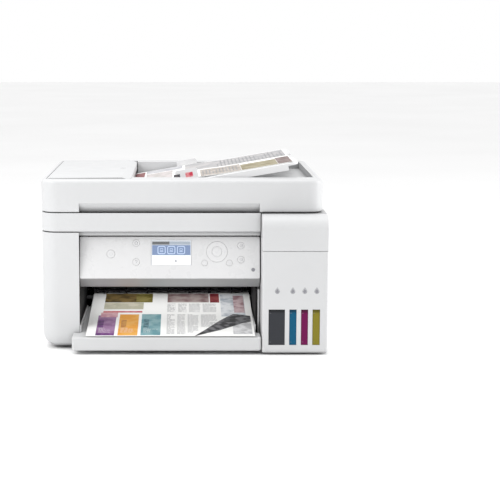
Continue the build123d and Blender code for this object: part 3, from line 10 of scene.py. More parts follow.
import bpy
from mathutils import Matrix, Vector


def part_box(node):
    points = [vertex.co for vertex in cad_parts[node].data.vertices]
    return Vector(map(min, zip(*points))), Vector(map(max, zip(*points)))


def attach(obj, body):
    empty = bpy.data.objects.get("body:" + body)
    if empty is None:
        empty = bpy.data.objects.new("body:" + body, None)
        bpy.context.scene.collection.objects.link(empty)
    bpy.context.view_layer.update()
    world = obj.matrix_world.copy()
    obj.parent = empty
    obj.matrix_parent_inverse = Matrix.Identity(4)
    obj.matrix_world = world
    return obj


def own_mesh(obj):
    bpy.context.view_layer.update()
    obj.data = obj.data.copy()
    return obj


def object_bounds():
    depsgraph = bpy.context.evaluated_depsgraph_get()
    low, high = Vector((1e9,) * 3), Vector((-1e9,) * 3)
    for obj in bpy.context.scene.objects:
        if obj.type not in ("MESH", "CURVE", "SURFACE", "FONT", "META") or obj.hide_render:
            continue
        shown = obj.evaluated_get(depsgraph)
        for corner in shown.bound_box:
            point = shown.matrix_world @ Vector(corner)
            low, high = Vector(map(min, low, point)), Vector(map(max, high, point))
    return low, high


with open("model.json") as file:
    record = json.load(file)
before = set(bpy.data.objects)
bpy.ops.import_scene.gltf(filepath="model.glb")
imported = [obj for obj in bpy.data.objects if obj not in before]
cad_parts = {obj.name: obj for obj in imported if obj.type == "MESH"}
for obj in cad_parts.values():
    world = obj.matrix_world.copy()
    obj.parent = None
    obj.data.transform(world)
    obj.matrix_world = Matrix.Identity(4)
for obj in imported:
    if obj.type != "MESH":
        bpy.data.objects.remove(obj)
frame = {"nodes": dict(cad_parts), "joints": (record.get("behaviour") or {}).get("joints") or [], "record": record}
cad_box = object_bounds()
scene = bpy.context.scene
MM = 0.001

joints = {joint["name"]: joint for joint in frame["joints"]}
slots = {entry["node"]: entry["material_slot"] for entry in frame["record"]["subparts"]}


# ---------------------------------------------------------------- node helpers
def start_material(name, **values):
    """A new node material with its Principled sockets set, and the tree and shader to build on."""
    material = bpy.data.materials.new(name)
    material.use_nodes = True
    tree = material.node_tree
    shader = tree.nodes["Principled BSDF"]
    for socket, value in values.items():
        shader.inputs[socket.replace("_", " ")].default_value = value
    return material, tree, shader


def feed(tree, shader, **outputs):
    """Links outputs to the shader's sockets, by their names."""
    for socket, output in outputs.items():
        tree.links.new(output, shader.inputs[socket.replace("_", " ")])


def add(tree, kind, **values):
    """A node with properties or input values set by name."""
    node = tree.nodes.new(kind)
    for key, value in values.items():
        if hasattr(node, key):
            setattr(node, key, value)
        else:
            node.inputs[key.replace("_", " ")].default_value = value
    return node


def rgba(colour):
    return (colour[0], colour[1], colour[2], 1.0)


def shade(colour, factor):
    return tuple(min(1.0, channel * factor) for channel in colour[:3])


def place(tree, stretch=(1, 1, 1)):
    """Object coordinates in metres, scaled by stretch."""
    source = add(tree, "ShaderNodeTexCoord")
    mapping = add(tree, "ShaderNodeMapping")
    mapping.inputs["Scale"].default_value = stretch
    tree.links.new(source.outputs["Object"], mapping.inputs["Vector"])
    return mapping.outputs["Vector"]


def noise(tree, vector, scale, detail=3.0):
    node = add(tree, "ShaderNodeTexNoise", Scale=scale, Detail=detail)
    tree.links.new(vector, node.inputs["Vector"])
    return node.outputs["Fac"]


def ramp(tree, factor, stops):
    """A colour ramp: stops are (position, colour)."""
    node = add(tree, "ShaderNodeValToRGB")
    elements = node.color_ramp.elements
    while len(elements) < len(stops):
        elements.new(0.5)
    for element, (position, colour) in zip(elements, stops):
        element.position = position
        element.color = rgba(colour)
    tree.links.new(factor, node.inputs["Fac"])
    return node.outputs["Color"]


def two_tones(tree, factor, colour, low, high):
    """A ramp between a darker and a lighter tone of a colour."""
    return ramp(tree, factor, [(0.3, shade(colour, low)), (0.7, shade(colour, high))])


def spread(tree, factor, low, high):
    """Maps the middle of a noise onto a range."""
    node = add(tree, "ShaderNodeMapRange", To_Min=low, To_Max=high)
    node.inputs["From Min"].default_value = 0.3
    node.inputs["From Max"].default_value = 0.7
    tree.links.new(factor, node.inputs["Value"])
    return node.outputs["Result"]


def multiply(tree, share, first, second):
    """One colour multiplied by another, by a share from 0 to 1."""
    mix = add(tree, "ShaderNodeMix", data_type="RGBA", blend_type="MULTIPLY")
    mix.inputs[0].default_value = share
    tree.links.new(first, mix.inputs["A"])
    tree.links.new(second, mix.inputs["B"])
    return mix.outputs["Result"]


def relief(tree, shader, height, distance, strength=1.0, soften=0.0):
    """Bump from a height, over edges rounded by soften metres."""
    bump = add(tree, "ShaderNodeBump", Strength=strength, Distance=distance)
    tree.links.new(height, bump.inputs["Height"])
    if soften:
        edge = add(tree, "ShaderNodeBevel", samples=4, Radius=soften)
        tree.links.new(edge.outputs["Normal"], bump.inputs["Normal"])
    tree.links.new(bump.outputs["Normal"], shader.inputs["Normal"])


# ---------------------------------------------------------------- materials
# how far the painted crevice shade looks for surfaces close by
CREVICE_SHADE_REACH = 9 * MM


def paint_crevice_shade(tree, colour, depth):
    """Painted shade: darkens a colour where other surfaces stand close by, as if shade fell in the crevices."""
    shelter = add(tree, "ShaderNodeAmbientOcclusion", samples=6, Distance=CREVICE_SHADE_REACH)
    shadow = ramp(tree, shelter.outputs["AO"], [(0.0, (1 - depth,) * 3), (0.95, (1.0, 1.0, 1.0))])
    return multiply(tree, 1.0, shadow, colour)


def moulded(name, colour, roughness=0.5, grain=0.018, grain_scale=2200.0, drift=0.02, soften=0.0,
            coat=0.0, crevice_shade=0.0, shine=0.5):
    """Injection-moulded plastic: spark-eroded grain, a slow drift of colour and gloss, and where asked painted
    shade in its crevices.
    """
    material, tree, shader = start_material(name, IOR=1.5, Specular_IOR_Level=shine,
                                            Coat_Weight=coat, Coat_Roughness=0.12)
    where = place(tree)
    tone = two_tones(tree, noise(tree, where, 9.0), colour, 1 - drift, 1 + drift)
    if crevice_shade:
        tone = paint_crevice_shade(tree, tone, crevice_shade)
    gloss = spread(tree, noise(tree, where, 60.0), roughness - 0.05, roughness + 0.05)
    feed(tree, shader, Base_Color=tone, Roughness=gloss)
    relief(tree, shader, noise(tree, where, grain_scale, 2.0), grain * MM, 0.6, soften)
    return material


def rubber(name, colour, roughness=0.75):
    """Moulded rubber: dull, with a fine pebble and a dusty bloom."""
    material, tree, shader = start_material(name, IOR=1.45)
    where = place(tree)
    bloom = noise(tree, where, 140.0)
    feed(tree, shader,
         Base_Color=ramp(tree, bloom, [(0.35, colour), (0.75, shade(colour, 1.7))]),
         Roughness=spread(tree, bloom, roughness - 0.1, roughness + 0.1))
    relief(tree, shader, noise(tree, where, 3200.0), 0.03 * MM)
    return material


def metal(name, colour, roughness=0.32, along=(1, 40, 40)):
    """Rolled or turned metal with fine lines along one axis."""
    material, tree, shader = start_material(name, Metallic=1.0)
    lines = noise(tree, place(tree, along), 60.0, 6.0)
    feed(tree, shader,
         Base_Color=two_tones(tree, lines, colour, 0.86, 1.12),
         Roughness=spread(tree, lines, roughness - 0.08, roughness + 0.12))
    relief(tree, shader, lines, 0.01 * MM)
    return material


def clear(name, colour, roughness=0.02, ior=1.46):
    """Glass or clear plastic, with faint smears in its polish."""
    material, tree, shader = start_material(name, Base_Color=rgba(colour), Transmission_Weight=1.0,
                                            IOR=ior)
    smear = noise(tree, place(tree, (1, 0.35, 1)), 30.0, 5.0)
    feed(tree, shader, Roughness=spread(tree, smear, roughness, roughness + 0.05))
    return material


def ink(name, colour, top):
    """Ink behind a clear window: deep and satin, with a band of painted shade above its level, at the top of the
    window.
    """
    material, tree, shader = start_material(name, Roughness=0.35, IOR=1.4, Specular_IOR_Level=0.25)
    source = add(tree, "ShaderNodeTexCoord").outputs["Object"]
    split = add(tree, "ShaderNodeSeparateXYZ")
    tree.links.new(source, split.inputs["Vector"])
    ripple = add(tree, "ShaderNodeMath", operation="MULTIPLY_ADD")
    tree.links.new(noise(tree, source, 90.0), ripple.inputs[0])
    ripple.inputs[1].default_value = 1.5 * MM
    tree.links.new(split.outputs["Z"], ripple.inputs[2])
    height = add(tree, "ShaderNodeMapRange")
    height.inputs["From Min"].default_value = top - 8 * MM
    height.inputs["From Max"].default_value = top + 2 * MM
    tree.links.new(ripple.outputs["Value"], height.inputs["Value"])
    # the upper stops are painted shade, darker above the ink's level
    stops = [(0.0, colour), (0.42, shade(colour, 0.94)), (0.52, shade(colour, 0.5)),
             (1.0, shade(colour, 0.4))]
    feed(tree, shader, Base_Color=ramp(tree, height.outputs["Result"], stops))
    relief(tree, shader, noise(tree, source, 220.0), 0.05 * MM, 0.4)
    return material


def board(name):
    """Solder mask over copper tracks."""
    material, tree, shader = start_material(name, Roughness=0.3, IOR=1.5)
    tracks = add(tree, "ShaderNodeTexBrick", offset=0.37, Scale=260.0, Mortar_Size=0.04)
    for socket, colour in (("Color1", (0.012, 0.10, 0.045)), ("Color2", (0.016, 0.13, 0.055)),
                           ("Mortar", (0.05, 0.24, 0.10))):
        tracks.inputs[socket].default_value = rgba(colour)
    tree.links.new(place(tree), tracks.inputs["Vector"])
    feed(tree, shader, Base_Color=tracks.outputs["Color"])
    relief(tree, shader, tracks.outputs["Fac"], 0.04 * MM)
    return material


def paper(name, colour=(0.90, 0.90, 0.885)):
    """Uncoated sheet: faint fibres and a soft cloudy tone."""
    material, tree, shader = start_material(name, Roughness=0.82, IOR=1.4)
    cloud = noise(tree, place(tree), 35.0)
    fibres = noise(tree, place(tree, (1, 0.3, 1)), 1500.0, 5.0)
    feed(tree, shader, Base_Color=two_tones(tree, cloud, colour, 0.975, 1.0))
    relief(tree, shader, fibres, 0.012 * MM)
    return material


def print_ink(name, colour, other, scale):
    """Printed colour: patches of two tones under a fine dot screen."""
    material, tree, shader = start_material(name, Roughness=0.6, IOR=1.4)
    where = place(tree)
    dots = add(tree, "ShaderNodeTexVoronoi", Scale=2600.0)
    tree.links.new(where, dots.inputs["Vector"])
    patches = ramp(tree, noise(tree, where, scale, 2.0), [(0.42, colour), (0.6, other)])
    feed(tree, shader, Base_Color=multiply(tree, 0.18, patches, dots.outputs["Distance"]))
    return material


def glow(name, colour, strength):
    """A lit part of the display, with its rows of picture cells."""
    material, tree, shader = start_material(name, Roughness=0.12, IOR=1.5, Coat_Weight=0.5,
                                            Emission_Strength=strength)
    cells = add(tree, "ShaderNodeTexChecker", Scale=5200.0)
    cells.inputs["Color1"].default_value = rgba(colour)
    cells.inputs["Color2"].default_value = rgba(shade(colour, 0.86))
    tree.links.new(place(tree), cells.inputs["Vector"])
    feed(tree, shader, Base_Color=cells.outputs["Color"], Emission_Color=cells.outputs["Color"])
    return material


INK_COLOURS = {
    "black": (0.032, 0.034, 0.040),
    "cyan": (0.0, 0.082, 0.165),
    "magenta": (0.135, 0.0, 0.060),
    "yellow": (0.203, 0.172, 0.015),
}
CAP_COLOURS = {
    "black": (0.02, 0.02, 0.02),
    "cyan": (0.01, 0.20, 0.42),
    "magenta": (0.40, 0.01, 0.16),
    "yellow": (0.62, 0.48, 0.02),
}
WHITE = (0.565, 0.569, 0.575)
window_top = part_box("black_ink_tank")[0].z + 52 * MM

finishes = {
    # the white shell gets painted shade in its crevices and seams
    "white_shell": moulded("white_shell", WHITE, 0.42, soften=0.7 * MM, crevice_shade=0.6),
    "pale_tray": moulded("pale_tray", (0.55, 0.554, 0.558), 0.45, soften=0.5 * MM),
    "grey_bevel": moulded("grey_bevel", (0.315, 0.317, 0.32), 0.45, soften=0.5 * MM),
    "key_white": moulded("key_white", (0.655, 0.655, 0.66), 0.3, grain=0.008, coat=0.3),
    "dark_bezel": moulded("dark_bezel", (0.05, 0.05, 0.052), 0.45, soften=0.4 * MM),
    "black_frame": moulded("black_frame", (0.009, 0.009, 0.010), 0.6, shine=0.12),
    "grey_mechanism": moulded("grey_mechanism", (0.12, 0.12, 0.125), 0.5),
    "gear_plastic": moulded("gear_plastic", (0.66, 0.64, 0.56), 0.38, drift=0.05),
    "socket_black": moulded("socket_black", (0.02, 0.02, 0.021), 0.42),
    "mat_white": moulded("mat_white", (0.82, 0.82, 0.80), 0.75, grain=0.08, grain_scale=700.0),
    "brass_pinion": metal("brass_pinion", (0.70, 0.50, 0.20), 0.28),
    "steel": metal("steel", (0.52, 0.53, 0.55)),
    "screw_steel": metal("screw_steel", (0.40, 0.40, 0.42), 0.25),
    "roller_rubber": rubber("roller_rubber", (0.045, 0.045, 0.047)),
    "belt_rubber": rubber("belt_rubber", (0.02, 0.02, 0.02)),
    "foot_rubber": rubber("foot_rubber", (0.06, 0.06, 0.06)),
    "tube_clear": moulded("tube_clear", (0.16, 0.16, 0.17), 0.2, coat=0.6),
    "circuit_board": board("circuit_board"),
    "glass": clear("glass", (0.93, 0.97, 0.96)),
    "lcd": glow("lcd", (0.72, 0.76, 0.80), 0.12),
}
for dye in INK_COLOURS:
    finishes["ink_" + dye] = ink("ink_" + dye, INK_COLOURS[dye], window_top)
    finishes["cap_" + dye] = rubber("cap_" + dye, CAP_COLOURS[dye], 0.5)

# painted light: a lighter copy of the white plastic for the feeder's tray and guides, which stand in shade
feeder_lit_white = moulded("feeder_lit_white", (0.70, 0.70, 0.705), 0.45, soften=0.4 * MM)
own_finish = {  # nodes that don't take the finish of their slot
    "panel_face": moulded("panel_white", (0.64, 0.64, 0.645), 0.3, grain=0.008, soften=0.4 * MM,
                          coat=0.2),
    "star_wheels": finishes["black_frame"],
    "adf_input_tray": feeder_lit_white,
    "adf_guide_front": feeder_lit_white,
    "adf_guide_rear": feeder_lit_white,
}

for node_name, node_object in frame["nodes"].items():
    node_object.data.materials.clear()
    node_object.data.materials.append(own_finish.get(node_name, finishes[slots[node_name]]))
    for face in node_object.data.polygons:
        face.material_index = 0

marking_grey = moulded("marking_grey", (0.22, 0.22, 0.24), 0.5)
marking_pale = moulded("marking_pale", (0.56, 0.56, 0.58), 0.5)


# ---------------------------------------------------------------- mesh helpers
def mesh_piece(name, points, faces, material, body):
    """A mesh from points and faces, which rides on a body."""
    mesh = bpy.data.meshes.new(name)
    mesh.from_pydata([tuple(point) for point in points], [], faces)
    mesh.materials.append(material)
    mesh.validate()
    mesh.update()
    piece = bpy.data.objects.new(name, mesh)
    scene.collection.objects.link(piece)
    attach(piece, body)
    return piece


class Surface:
    """A flat place to put marks on: its origin, its right and up directions and its normal."""

    def __init__(self, origin, right, up):
        self.origin = Vector(origin)
        self.right = Vector(right).normalized()
        self.up = Vector(up).normalized()
        self.out = self.right.cross(self.up)

    def at(self, x, y, lift=0.0):
        return self.origin + self.right * x + self.up * y + self.out * lift


def surface_on(node, start, direction, right):
    """The flat place where a line from start first meets a CAD node."""
    hit, where, normal, _ = frame["nodes"][node].ray_cast(Vector(start), Vector(direction))
    if not hit:
        raise ValueError(f"nothing of {node} lies that way")
    right = Vector(right) - normal * Vector(right).dot(normal)
    return Surface(where, right, normal.cross(right))


def furthest(node, start, direction):
    """How far a node reaches from a point, along a direction."""
    return max((Vector(v.co) - start).dot(direction) for v in frame["nodes"][node].data.vertices)


def ribbon(outline, width, closed=False):
    """Corner pairs either side of a line of 2-D points, which may close."""
    count = len(outline)
    pairs = []
    for index, (x, y) in enumerate(outline):
        before = outline[index - 1] if closed or index else outline[0]
        after = outline[(index + 1) % count] if closed or index < count - 1 else outline[-1]
        dx, dy = after[0] - before[0], after[1] - before[1]
        length = math.hypot(dx, dy) or 1.0
        nx, ny = -dy / length * width / 2, dx / length * width / 2
        pairs.append(((x - nx, y - ny), (x + nx, y + ny)))
    return pairs


def arc(centre, radius, start, end, steps=20):
    """Points on an arc, by angles in degrees."""
    angles = [math.radians(start + (end - start) * i / steps) for i in range(steps + 1)]
    return [(centre[0] + radius * math.cos(angle), centre[1] + radius * math.sin(angle))
            for angle in angles]


def marks(name, surface, strokes, fills, material, body, lift=0.05 * MM):
    """Printed marks: strokes are (points, width, closed), fills are closed outlines."""
    points, faces = [], []
    for outline, width, closed in strokes:
        pairs = ribbon(outline, width, closed)
        first = len(points)
        for left, right in pairs:
            points += [surface.at(*left, lift), surface.at(*right, lift)]
        count = len(pairs)
        for i in range(count if closed else count - 1):
            a, b = first + 2 * i, first + 2 * ((i + 1) % count)
            faces.append((a, b, b + 1, a + 1))
    for outline in fills:
        first = len(points)
        points += [surface.at(x, y, lift) for x, y in outline]
        faces.append(tuple(range(first, first + len(outline))))
    return mesh_piece(name, points, faces, material, body)


def rectangle(x, y, width, height, corner=0.0):
    """An outline centred on x, y, with rounded corners."""
    if not corner:
        return [(x - width / 2, y - height / 2), (x + width / 2, y - height / 2),
                (x + width / 2, y + height / 2), (x - width / 2, y + height / 2)]
    points = []
    for sx, sy, start in ((1, -1, -90), (1, 1, 0), (-1, 1, 90), (-1, -1, 180)):
        centre = (x + sx * (width / 2 - corner), y + sy * (height / 2 - corner))
        points += arc(centre, corner, start, start + 90, 4)
    return points


# ---------------------------------------------------------------- control panel
THIN = 0.45 * MM
outward = -Vector(joints["ok_key_press"]["axis"])
lean_sin, lean_cos = outward.z, -outward.y

# the face is a leaning slab, so its thickness follows from the depth and height of its box
face_low, face_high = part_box("panel_face")
face_deep, face_tall = face_high.y - face_low.y, face_high.z - face_low.z
face_thick = (face_deep * lean_cos - face_tall * lean_sin) / (lean_cos**2 - lean_sin**2)
panel = Surface((0, face_low.y, face_low.z + face_thick * lean_sin), (1, 0, 0),
                (0, lean_sin, lean_cos))


def key_surface(node, lift=0.0):
    """The front of a key, centred on it, or a plane this far before it."""
    low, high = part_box(node)
    middle = (low + high) / 2
    reach = furthest(node, middle, outward) + lift
    return Surface(middle + outward * reach, panel.right, panel.up)


def line(*points, closed=False):
    """A thin stroke through points in millimetres."""
    return [(x * MM, y * MM) for x, y in points], THIN, closed


def ring(radius, width):
    """A stroke round the origin, in millimetres."""
    return arc((0, 0), radius * MM, 0, 350, 35), width * MM, True


def key_marks():
    """The printed symbols on the keys, each riding with its key; some are plainer to see."""
    power = [line(*arc((0, 0), 2.2, 125, 415)), line((0, 0.6), (0, 2.9))]
    house = [line((-2.4, 0), (0, 2.3), (2.4, 0)),
             line((-1.6, 0.4), (-1.6, -2), (1.6, -2), (1.6, 0.4))]
    query = [line(*arc((0, 1.0), 1.3, 180, -60)), line((0.5, -0.2), (0, -1.2)),
             line((0, -1.9), (0, -2.4))]
    back = [line(*arc((0.2, 0), 1.5, -90, 130)), line((-2.0, 0.9), (-0.8, 1.2), (-1.1, 0.1))]
    stop = [line(*arc((0, 0), 1.9, 0, 342), closed=True), line((-1.3, 1.3), (1.3, -1.3))]
    start = [line((0, 2.2), (1.5, 0), (0, -2.2), (-1.5, 0), closed=True),
             line((2.4, 2.2), (2.4, -2.2))]
    tick = [line((-2.3, 0.2), (-0.6, -1.6), (2.4, 1.9))]
    for node, strokes, tone in (("power_key", power, marking_pale),
                                ("home_key", house, marking_grey),
                                ("help_key", query, marking_grey),
                                ("back_key", back, marking_pale),
                                ("stop_key", stop, marking_pale),
                                ("start_mono_key", start, marking_grey),
                                ("start_color_key", start, marking_grey),
                                ("ok_key", tick, marking_pale)):
        marks(node + "_symbol", key_surface(node), strokes, [], tone, node + "_button")
    arrows = []
    for turn in range(4):
        cos, sin = math.cos(turn * math.pi / 2), math.sin(turn * math.pi / 2)
        arrows.append(line(*[(along * cos - across * sin, along * sin + across * cos)
                             for along, across in ((9.4, -1.5), (11.0, 0.0), (9.4, 1.5))]))
    marks("nav_pad_arrows", key_surface("nav_pad"), arrows, [], marking_pale, "nav_pad_button")


def display():
    """What the screen shows: a title bar, a band of three tiles and a pale field below."""
    low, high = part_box("lcd_screen")
    width, tall = high.x - low.x, (high.z - low.z) / lean_cos - 1.0 * MM
    inner = width - 2.4 * MM
    base = (Vector((0, low.y, low.z)) - panel.origin).dot(panel.up)
    reach = furthest("lcd_screen", panel.origin, outward)
    screen = Surface(panel.at((low.x + high.x) / 2, base, reach), panel.right, panel.up)
    bar_y, band_y, field_y = tall * 0.90, tall * 0.62, tall * 0.22
    bar_tall, band_tall, field_tall = tall * 0.13, tall * 0.40, tall * 0.36
    first, second = 0.04 * MM, 0.08 * MM  # the picture's two layers
    body = "control_panel"

    field_white = glow("screen_field", (0.80, 0.83, 0.86), 0.35)
    bar_grey = glow("screen_bar", (0.13, 0.135, 0.14), 0.05)
    bar_pale = glow("screen_bar_pale", (0.36, 0.41, 0.47), 0.15)
    band_blue = glow("screen_band", (0.15, 0.21, 0.35), 0.35)
    tile_white = glow("screen_tile", (0.40, 0.49, 0.64), 0.45)
    for name, outline, tone, layer in (
            ("screen_field", rectangle(0, field_y, inner, field_tall), field_white, first),
            ("screen_bar", rectangle(0, bar_y, inner, bar_tall), bar_grey, first),
            ("screen_bar_light", rectangle(inner * 0.225, bar_y, inner * 0.55, bar_tall), bar_pale,
             second),
            ("screen_band", rectangle(0, band_y, inner, band_tall), band_blue, first)):
        marks(name, screen, [], [outline], tone, body, layer)

    tile = tall * 0.29
    for index in (-1, 0, 1):
        x = index * tile * 1.34
        frame_line = (rectangle(x, band_y, tile, tile, tile * 0.18), 1.1 * MM, True)
        foot = [(x - tile * 0.24, tall * 0.56), (x + tile * 0.24, tall * 0.56)]
        glyph = [(rectangle(x, tall * 0.64, tile * 0.36, tile * 0.24), 0.8 * MM, True),
                 (foot, 0.8 * MM, False)]
        marks(f"screen_tile_{index + 2}", screen, [frame_line], [], tile_white, body, second)
        marks(f"screen_glyph_{index + 2}", screen, glyph, [], tile_white, body, second)

    count = ([(inner * 0.12, tall * 0.13), (inner * 0.12, tall * 0.24)], 1.6 * MM, False)
    marks("screen_count", screen, [count], [], marking_grey, body, 0.09 * MM)
    edge = rectangle(0, tall * 0.515, width - 0.7 * MM, tall - 0.2 * MM, 0.8 * MM)
    marks("screen_window_edge", screen, [(edge, 0.6 * MM, True)], [], marking_pale, body, 0.06 * MM)


def panel_marks():
    """The status lens and the hairlines printed on the panel's face."""
    body = "control_panel"
    lens = arc((91.7 * MM, 11.6 * MM), 2.7 * MM, 0, 345, 23)
    marks("status_lens", panel, [], [lens], marking_grey, body, 0.08 * MM)
    marks("status_ring", panel, [(lens, 0.5 * MM, True)], [], marking_pale, body, 0.12 * MM)
    waves = [line(*arc((80.5, 10.0), radius, 40, 140, 8)) for radius in (1.0, 2.0, 3.0)]
    marks("wireless_mark", panel, waves, [], marking_pale, body)
    power_face = key_surface("power_key", -0.45 * MM)
    marks("power_ring", power_face, [ring(6.4, 0.3)], [], marking_pale, body)
    marks("ok_key_skirt", key_surface("nav_pad"), [ring(6.5, 0.9)], [], finishes["key_white"],
          "nav_pad_button", -0.5 * MM)


key_marks()
display()
panel_marks()


# ---------------------------------------------------------------- tank front
def droplet(x, z, size):
    """A drop outline: a round belly under a point."""
    belly = arc((x, z - size * 0.2), size * 0.62, -215, 35, 18)
    return belly + [(x, z + size)]


def tank_marks():
    """Drop symbols over the windows, and level lines on them."""
    right, up = (1, 0, 0), (0, 0, 1)
    tank_front = Surface((0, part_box("tank_housing")[0].y, 0), right, up)
    symbol_z = 84.6 * MM
    for x in (121.5, 141.6, 157.1, 172.7):  # within 0.5 mm of each window's middle
        rim = (droplet(x * MM, symbol_z, 4.4 * MM), 0.6 * MM, True)
        heart = droplet(x * MM, symbol_z - 0.3 * MM, 3.3 * MM)
        marks(f"drop_symbol_{round(x)}", tank_front, [rim], [heart], marking_grey, "printer")
    for dye in INK_COLOURS:
        tank = dye + "_ink_tank"
        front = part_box(tank)[0].y
        window = [v.co for v in frame["nodes"][tank].data.vertices if v.co.y < front + 0.1 * MM]
        left = min(corner.x for corner in window)
        bottom, top = min(corner.z for corner in window), max(corner.z for corner in window)
        ticks = []
        for share in (0.08, 0.90):
            z = bottom + (top - bottom) * share
            ticks.append(([(left + 0.8 * MM, z), (left + 3.0 * MM, z)], 0.3 * MM, False))
        glazing = Surface((0, front, 0), right, up)
        marks(f"{dye}_level_lines", glazing, ticks, [], marking_grey, "printer")


tank_marks()


# ---------------------------------------------------------------- paper
LETTER_WIDE, LETTER_LONG = 215.9 * MM, 279.4 * MM
PATCH_STEP = 8 * MM  # the length of a printed patch's faces

sheet_white = paper("sheet_white")
sheet_grey = paper("sheet_grey", (0.80, 0.80, 0.79))
print_text = print_ink("print_text", (0.30, 0.30, 0.31), (0.38, 0.38, 0.39), 900.0)


def patches(name, point, spans, lift, material, body, steps=None):
    """Patches that follow a sheet, as one piece: spans are (x, x, along, along)."""
    points, faces = [], []
    for x0, x1, a0, a1 in spans:
        rows = steps or max(1, round((a1 - a0) / PATCH_STEP))
        first = len(points)
        for i in range(rows + 1):
            along = a0 + (a1 - a0) * i / rows
            points += [point(x0, along, lift), point(x1, along, lift)]
            if i:
                k = first + 2 * i
                faces.append((k - 2, k - 1, k + 1, k))
    return mesh_piece(name, points, faces, material, body)


def shaped_patch(name, point, stations, lift, material, body, rows=8):
    """A patch with slanting ends: stations are (x, along low, along high), from left to right."""
    points, faces = [], []
    for i, (x, low, high) in enumerate(stations):
        points += [point(x, low + (high - low) * row / rows, lift) for row in range(rows + 1)]
        if i:
            first = (rows + 1) * (i - 1)
            for row in range(rows):
                a, b = first + row, first + rows + 1 + row
                faces.append((a, b, b + 1, a + 1))
    return mesh_piece(name, points, faces, material, body)


def sheet_of_paper(name, point, span, lift, material, body, thickness, steps):
    """One sheet with its thickness."""
    sheet = patches(name, point, [span], lift, material, body, steps)
    sheet.modifiers.new("thickness", "SOLIDIFY").thickness = thickness
    return sheet


SHORT_LINES = 0.16  # how often a line is a paragraph's short last one
WORD_LONG, WORD_GAP = (1.6, 6.0), 0.9  # in mm


def text_lines(seed, x_span, along_span, pitch, thick, ragged=0.25):
    """Bars that stand for lines of text, with ragged ends and short last lines."""
    dice = random.Random(seed)
    spans = []
    along = along_span[0]
    while along < along_span[1]:
        length = (x_span[1] - x_span[0]) * (1 - ragged * dice.random())
        if dice.random() < SHORT_LINES:
            length *= 0.5
        x = x_span[0]
        while x < x_span[0] + length:
            word = min(dice.uniform(*WORD_LONG) * MM, x_span[0] + length - x)
            spans.append((x, x + word, along, along + thick))
            x += word + WORD_GAP * MM
        along += pitch
    return spans


# ---------------------------------------------------------------- printed sheets
PRINT_LEFT = -122.6 * MM  # the upper sheet's left edge
exit_low, exit_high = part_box("exit_roller")
nip_y = (exit_low.y + exit_high.y) / 2
nip_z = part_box("print_head")[0].z - 1.0 * MM
start_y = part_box("output_tray")[0].y + 1.2 * MM
start_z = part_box("output_stopper")[1].z + 1.7 * MM


def printed_point(x, along, lift):
    """A point of a printed sheet, from its front edge: a slope up to the rollers, then level."""
    run, rise = nip_y - start_y, nip_z - start_z
    slope = math.hypot(run, rise)
    if along < slope:
        t = along / slope
        return (x, start_y + run * t, start_z + rise * t + lift)
    return (x, nip_y + along - slope, nip_z + lift)


def across_page(x0, x1):
    """A stretch across the printed page, in millimetres from its left edge."""
    return (PRINT_LEFT + x0 * MM, PRINT_LEFT + x1 * MM)


PAGE_TINTS = {  # the page's colours: two tones, and the scale of their patches
    "purple": ((0.25, 0.11, 0.26), (0.35, 0.19, 0.36), 60.0),
    "purple_dark": ((0.10, 0.03, 0.14), (0.20, 0.06, 0.24), 120.0),
    "orange": ((0.80, 0.34, 0.03), (0.82, 0.42, 0.08), 60.0),
    "orange_dark": ((0.50, 0.20, 0.04), (0.62, 0.30, 0.06), 160.0),
    "teal": ((0.12, 0.30, 0.34), (0.25, 0.43, 0.46), 60.0),
    "teal_dark": ((0.05, 0.14, 0.17), (0.12, 0.26, 0.30), 160.0),
    "pink": ((0.60, 0.28, 0.36), (0.72, 0.46, 0.48), 90.0),
    "red": ((0.55, 0.08, 0.10), (0.68, 0.22, 0.24), 120.0),
    "sage": ((0.52, 0.50, 0.38), (0.66, 0.62, 0.50), 60.0),
    "brown": ((0.07, 0.045, 0.015), (0.22, 0.15, 0.05), 55.0),
    "olive": ((0.16, 0.13, 0.02), (0.30, 0.25, 0.08), 80.0),
    "mauve": ((0.24, 0.15, 0.15), (0.46, 0.38, 0.36), 50.0),
    "wine": ((0.20, 0.02, 0.03), (0.34, 0.08, 0.08), 120.0),
    "streaks": ((0.46, 0.50, 0.55), (0.80, 0.82, 0.84), 60.0),
    "rose": ((0.34, 0.20, 0.22), (0.62, 0.48, 0.50), 70.0),
    "dusk": ((0.015, 0.015, 0.018), (0.16, 0.16, 0.17), 110.0),
    "mist": ((0.50, 0.50, 0.51), (0.74, 0.74, 0.75), 90.0),
}
PAGE_PATCHES = [  # tint, layer, and rectangles on the page in mm from its left and front edges
    ("purple", 0, [(7, 31.5, 3, 88)]),
    ("orange", 0, [(36, 62, 3, 93)]),
    ("teal", 0, [(66, 92, 4, 94)]),
    ("pink", 1, [(10, 33, 80, 101)]),
    ("purple_dark", 1, [(7, 31.5, 3, 13), (8, 15.5, 36, 70)]),
    ("orange_dark", 1, [(39, 46, 36, 68)]),
    ("teal_dark", 1, [(69, 76, 36, 71)]),
    ("red", 0, [(12.5, 66, 101, 108)]),
    ("sage", 0, [(12.5, 67, 116, 147)]),
    ("brown", 0, [(12.5, 56, 148, 190)]),
    ("olive", 0, [(56, 79, 148, 190)]),
    ("mauve", 0, [(100, 158, 148, 190)]),
    ("wine", 0, [(159.5, 172.5, 147, 190)]),
    ("streaks", 0, [(174, 207, 84, 194)]),
    ("rose", 1, [(192, 206.5, 101, 180)]),
    ("mist", 0, [(188, 213, 9, 58)]),
]
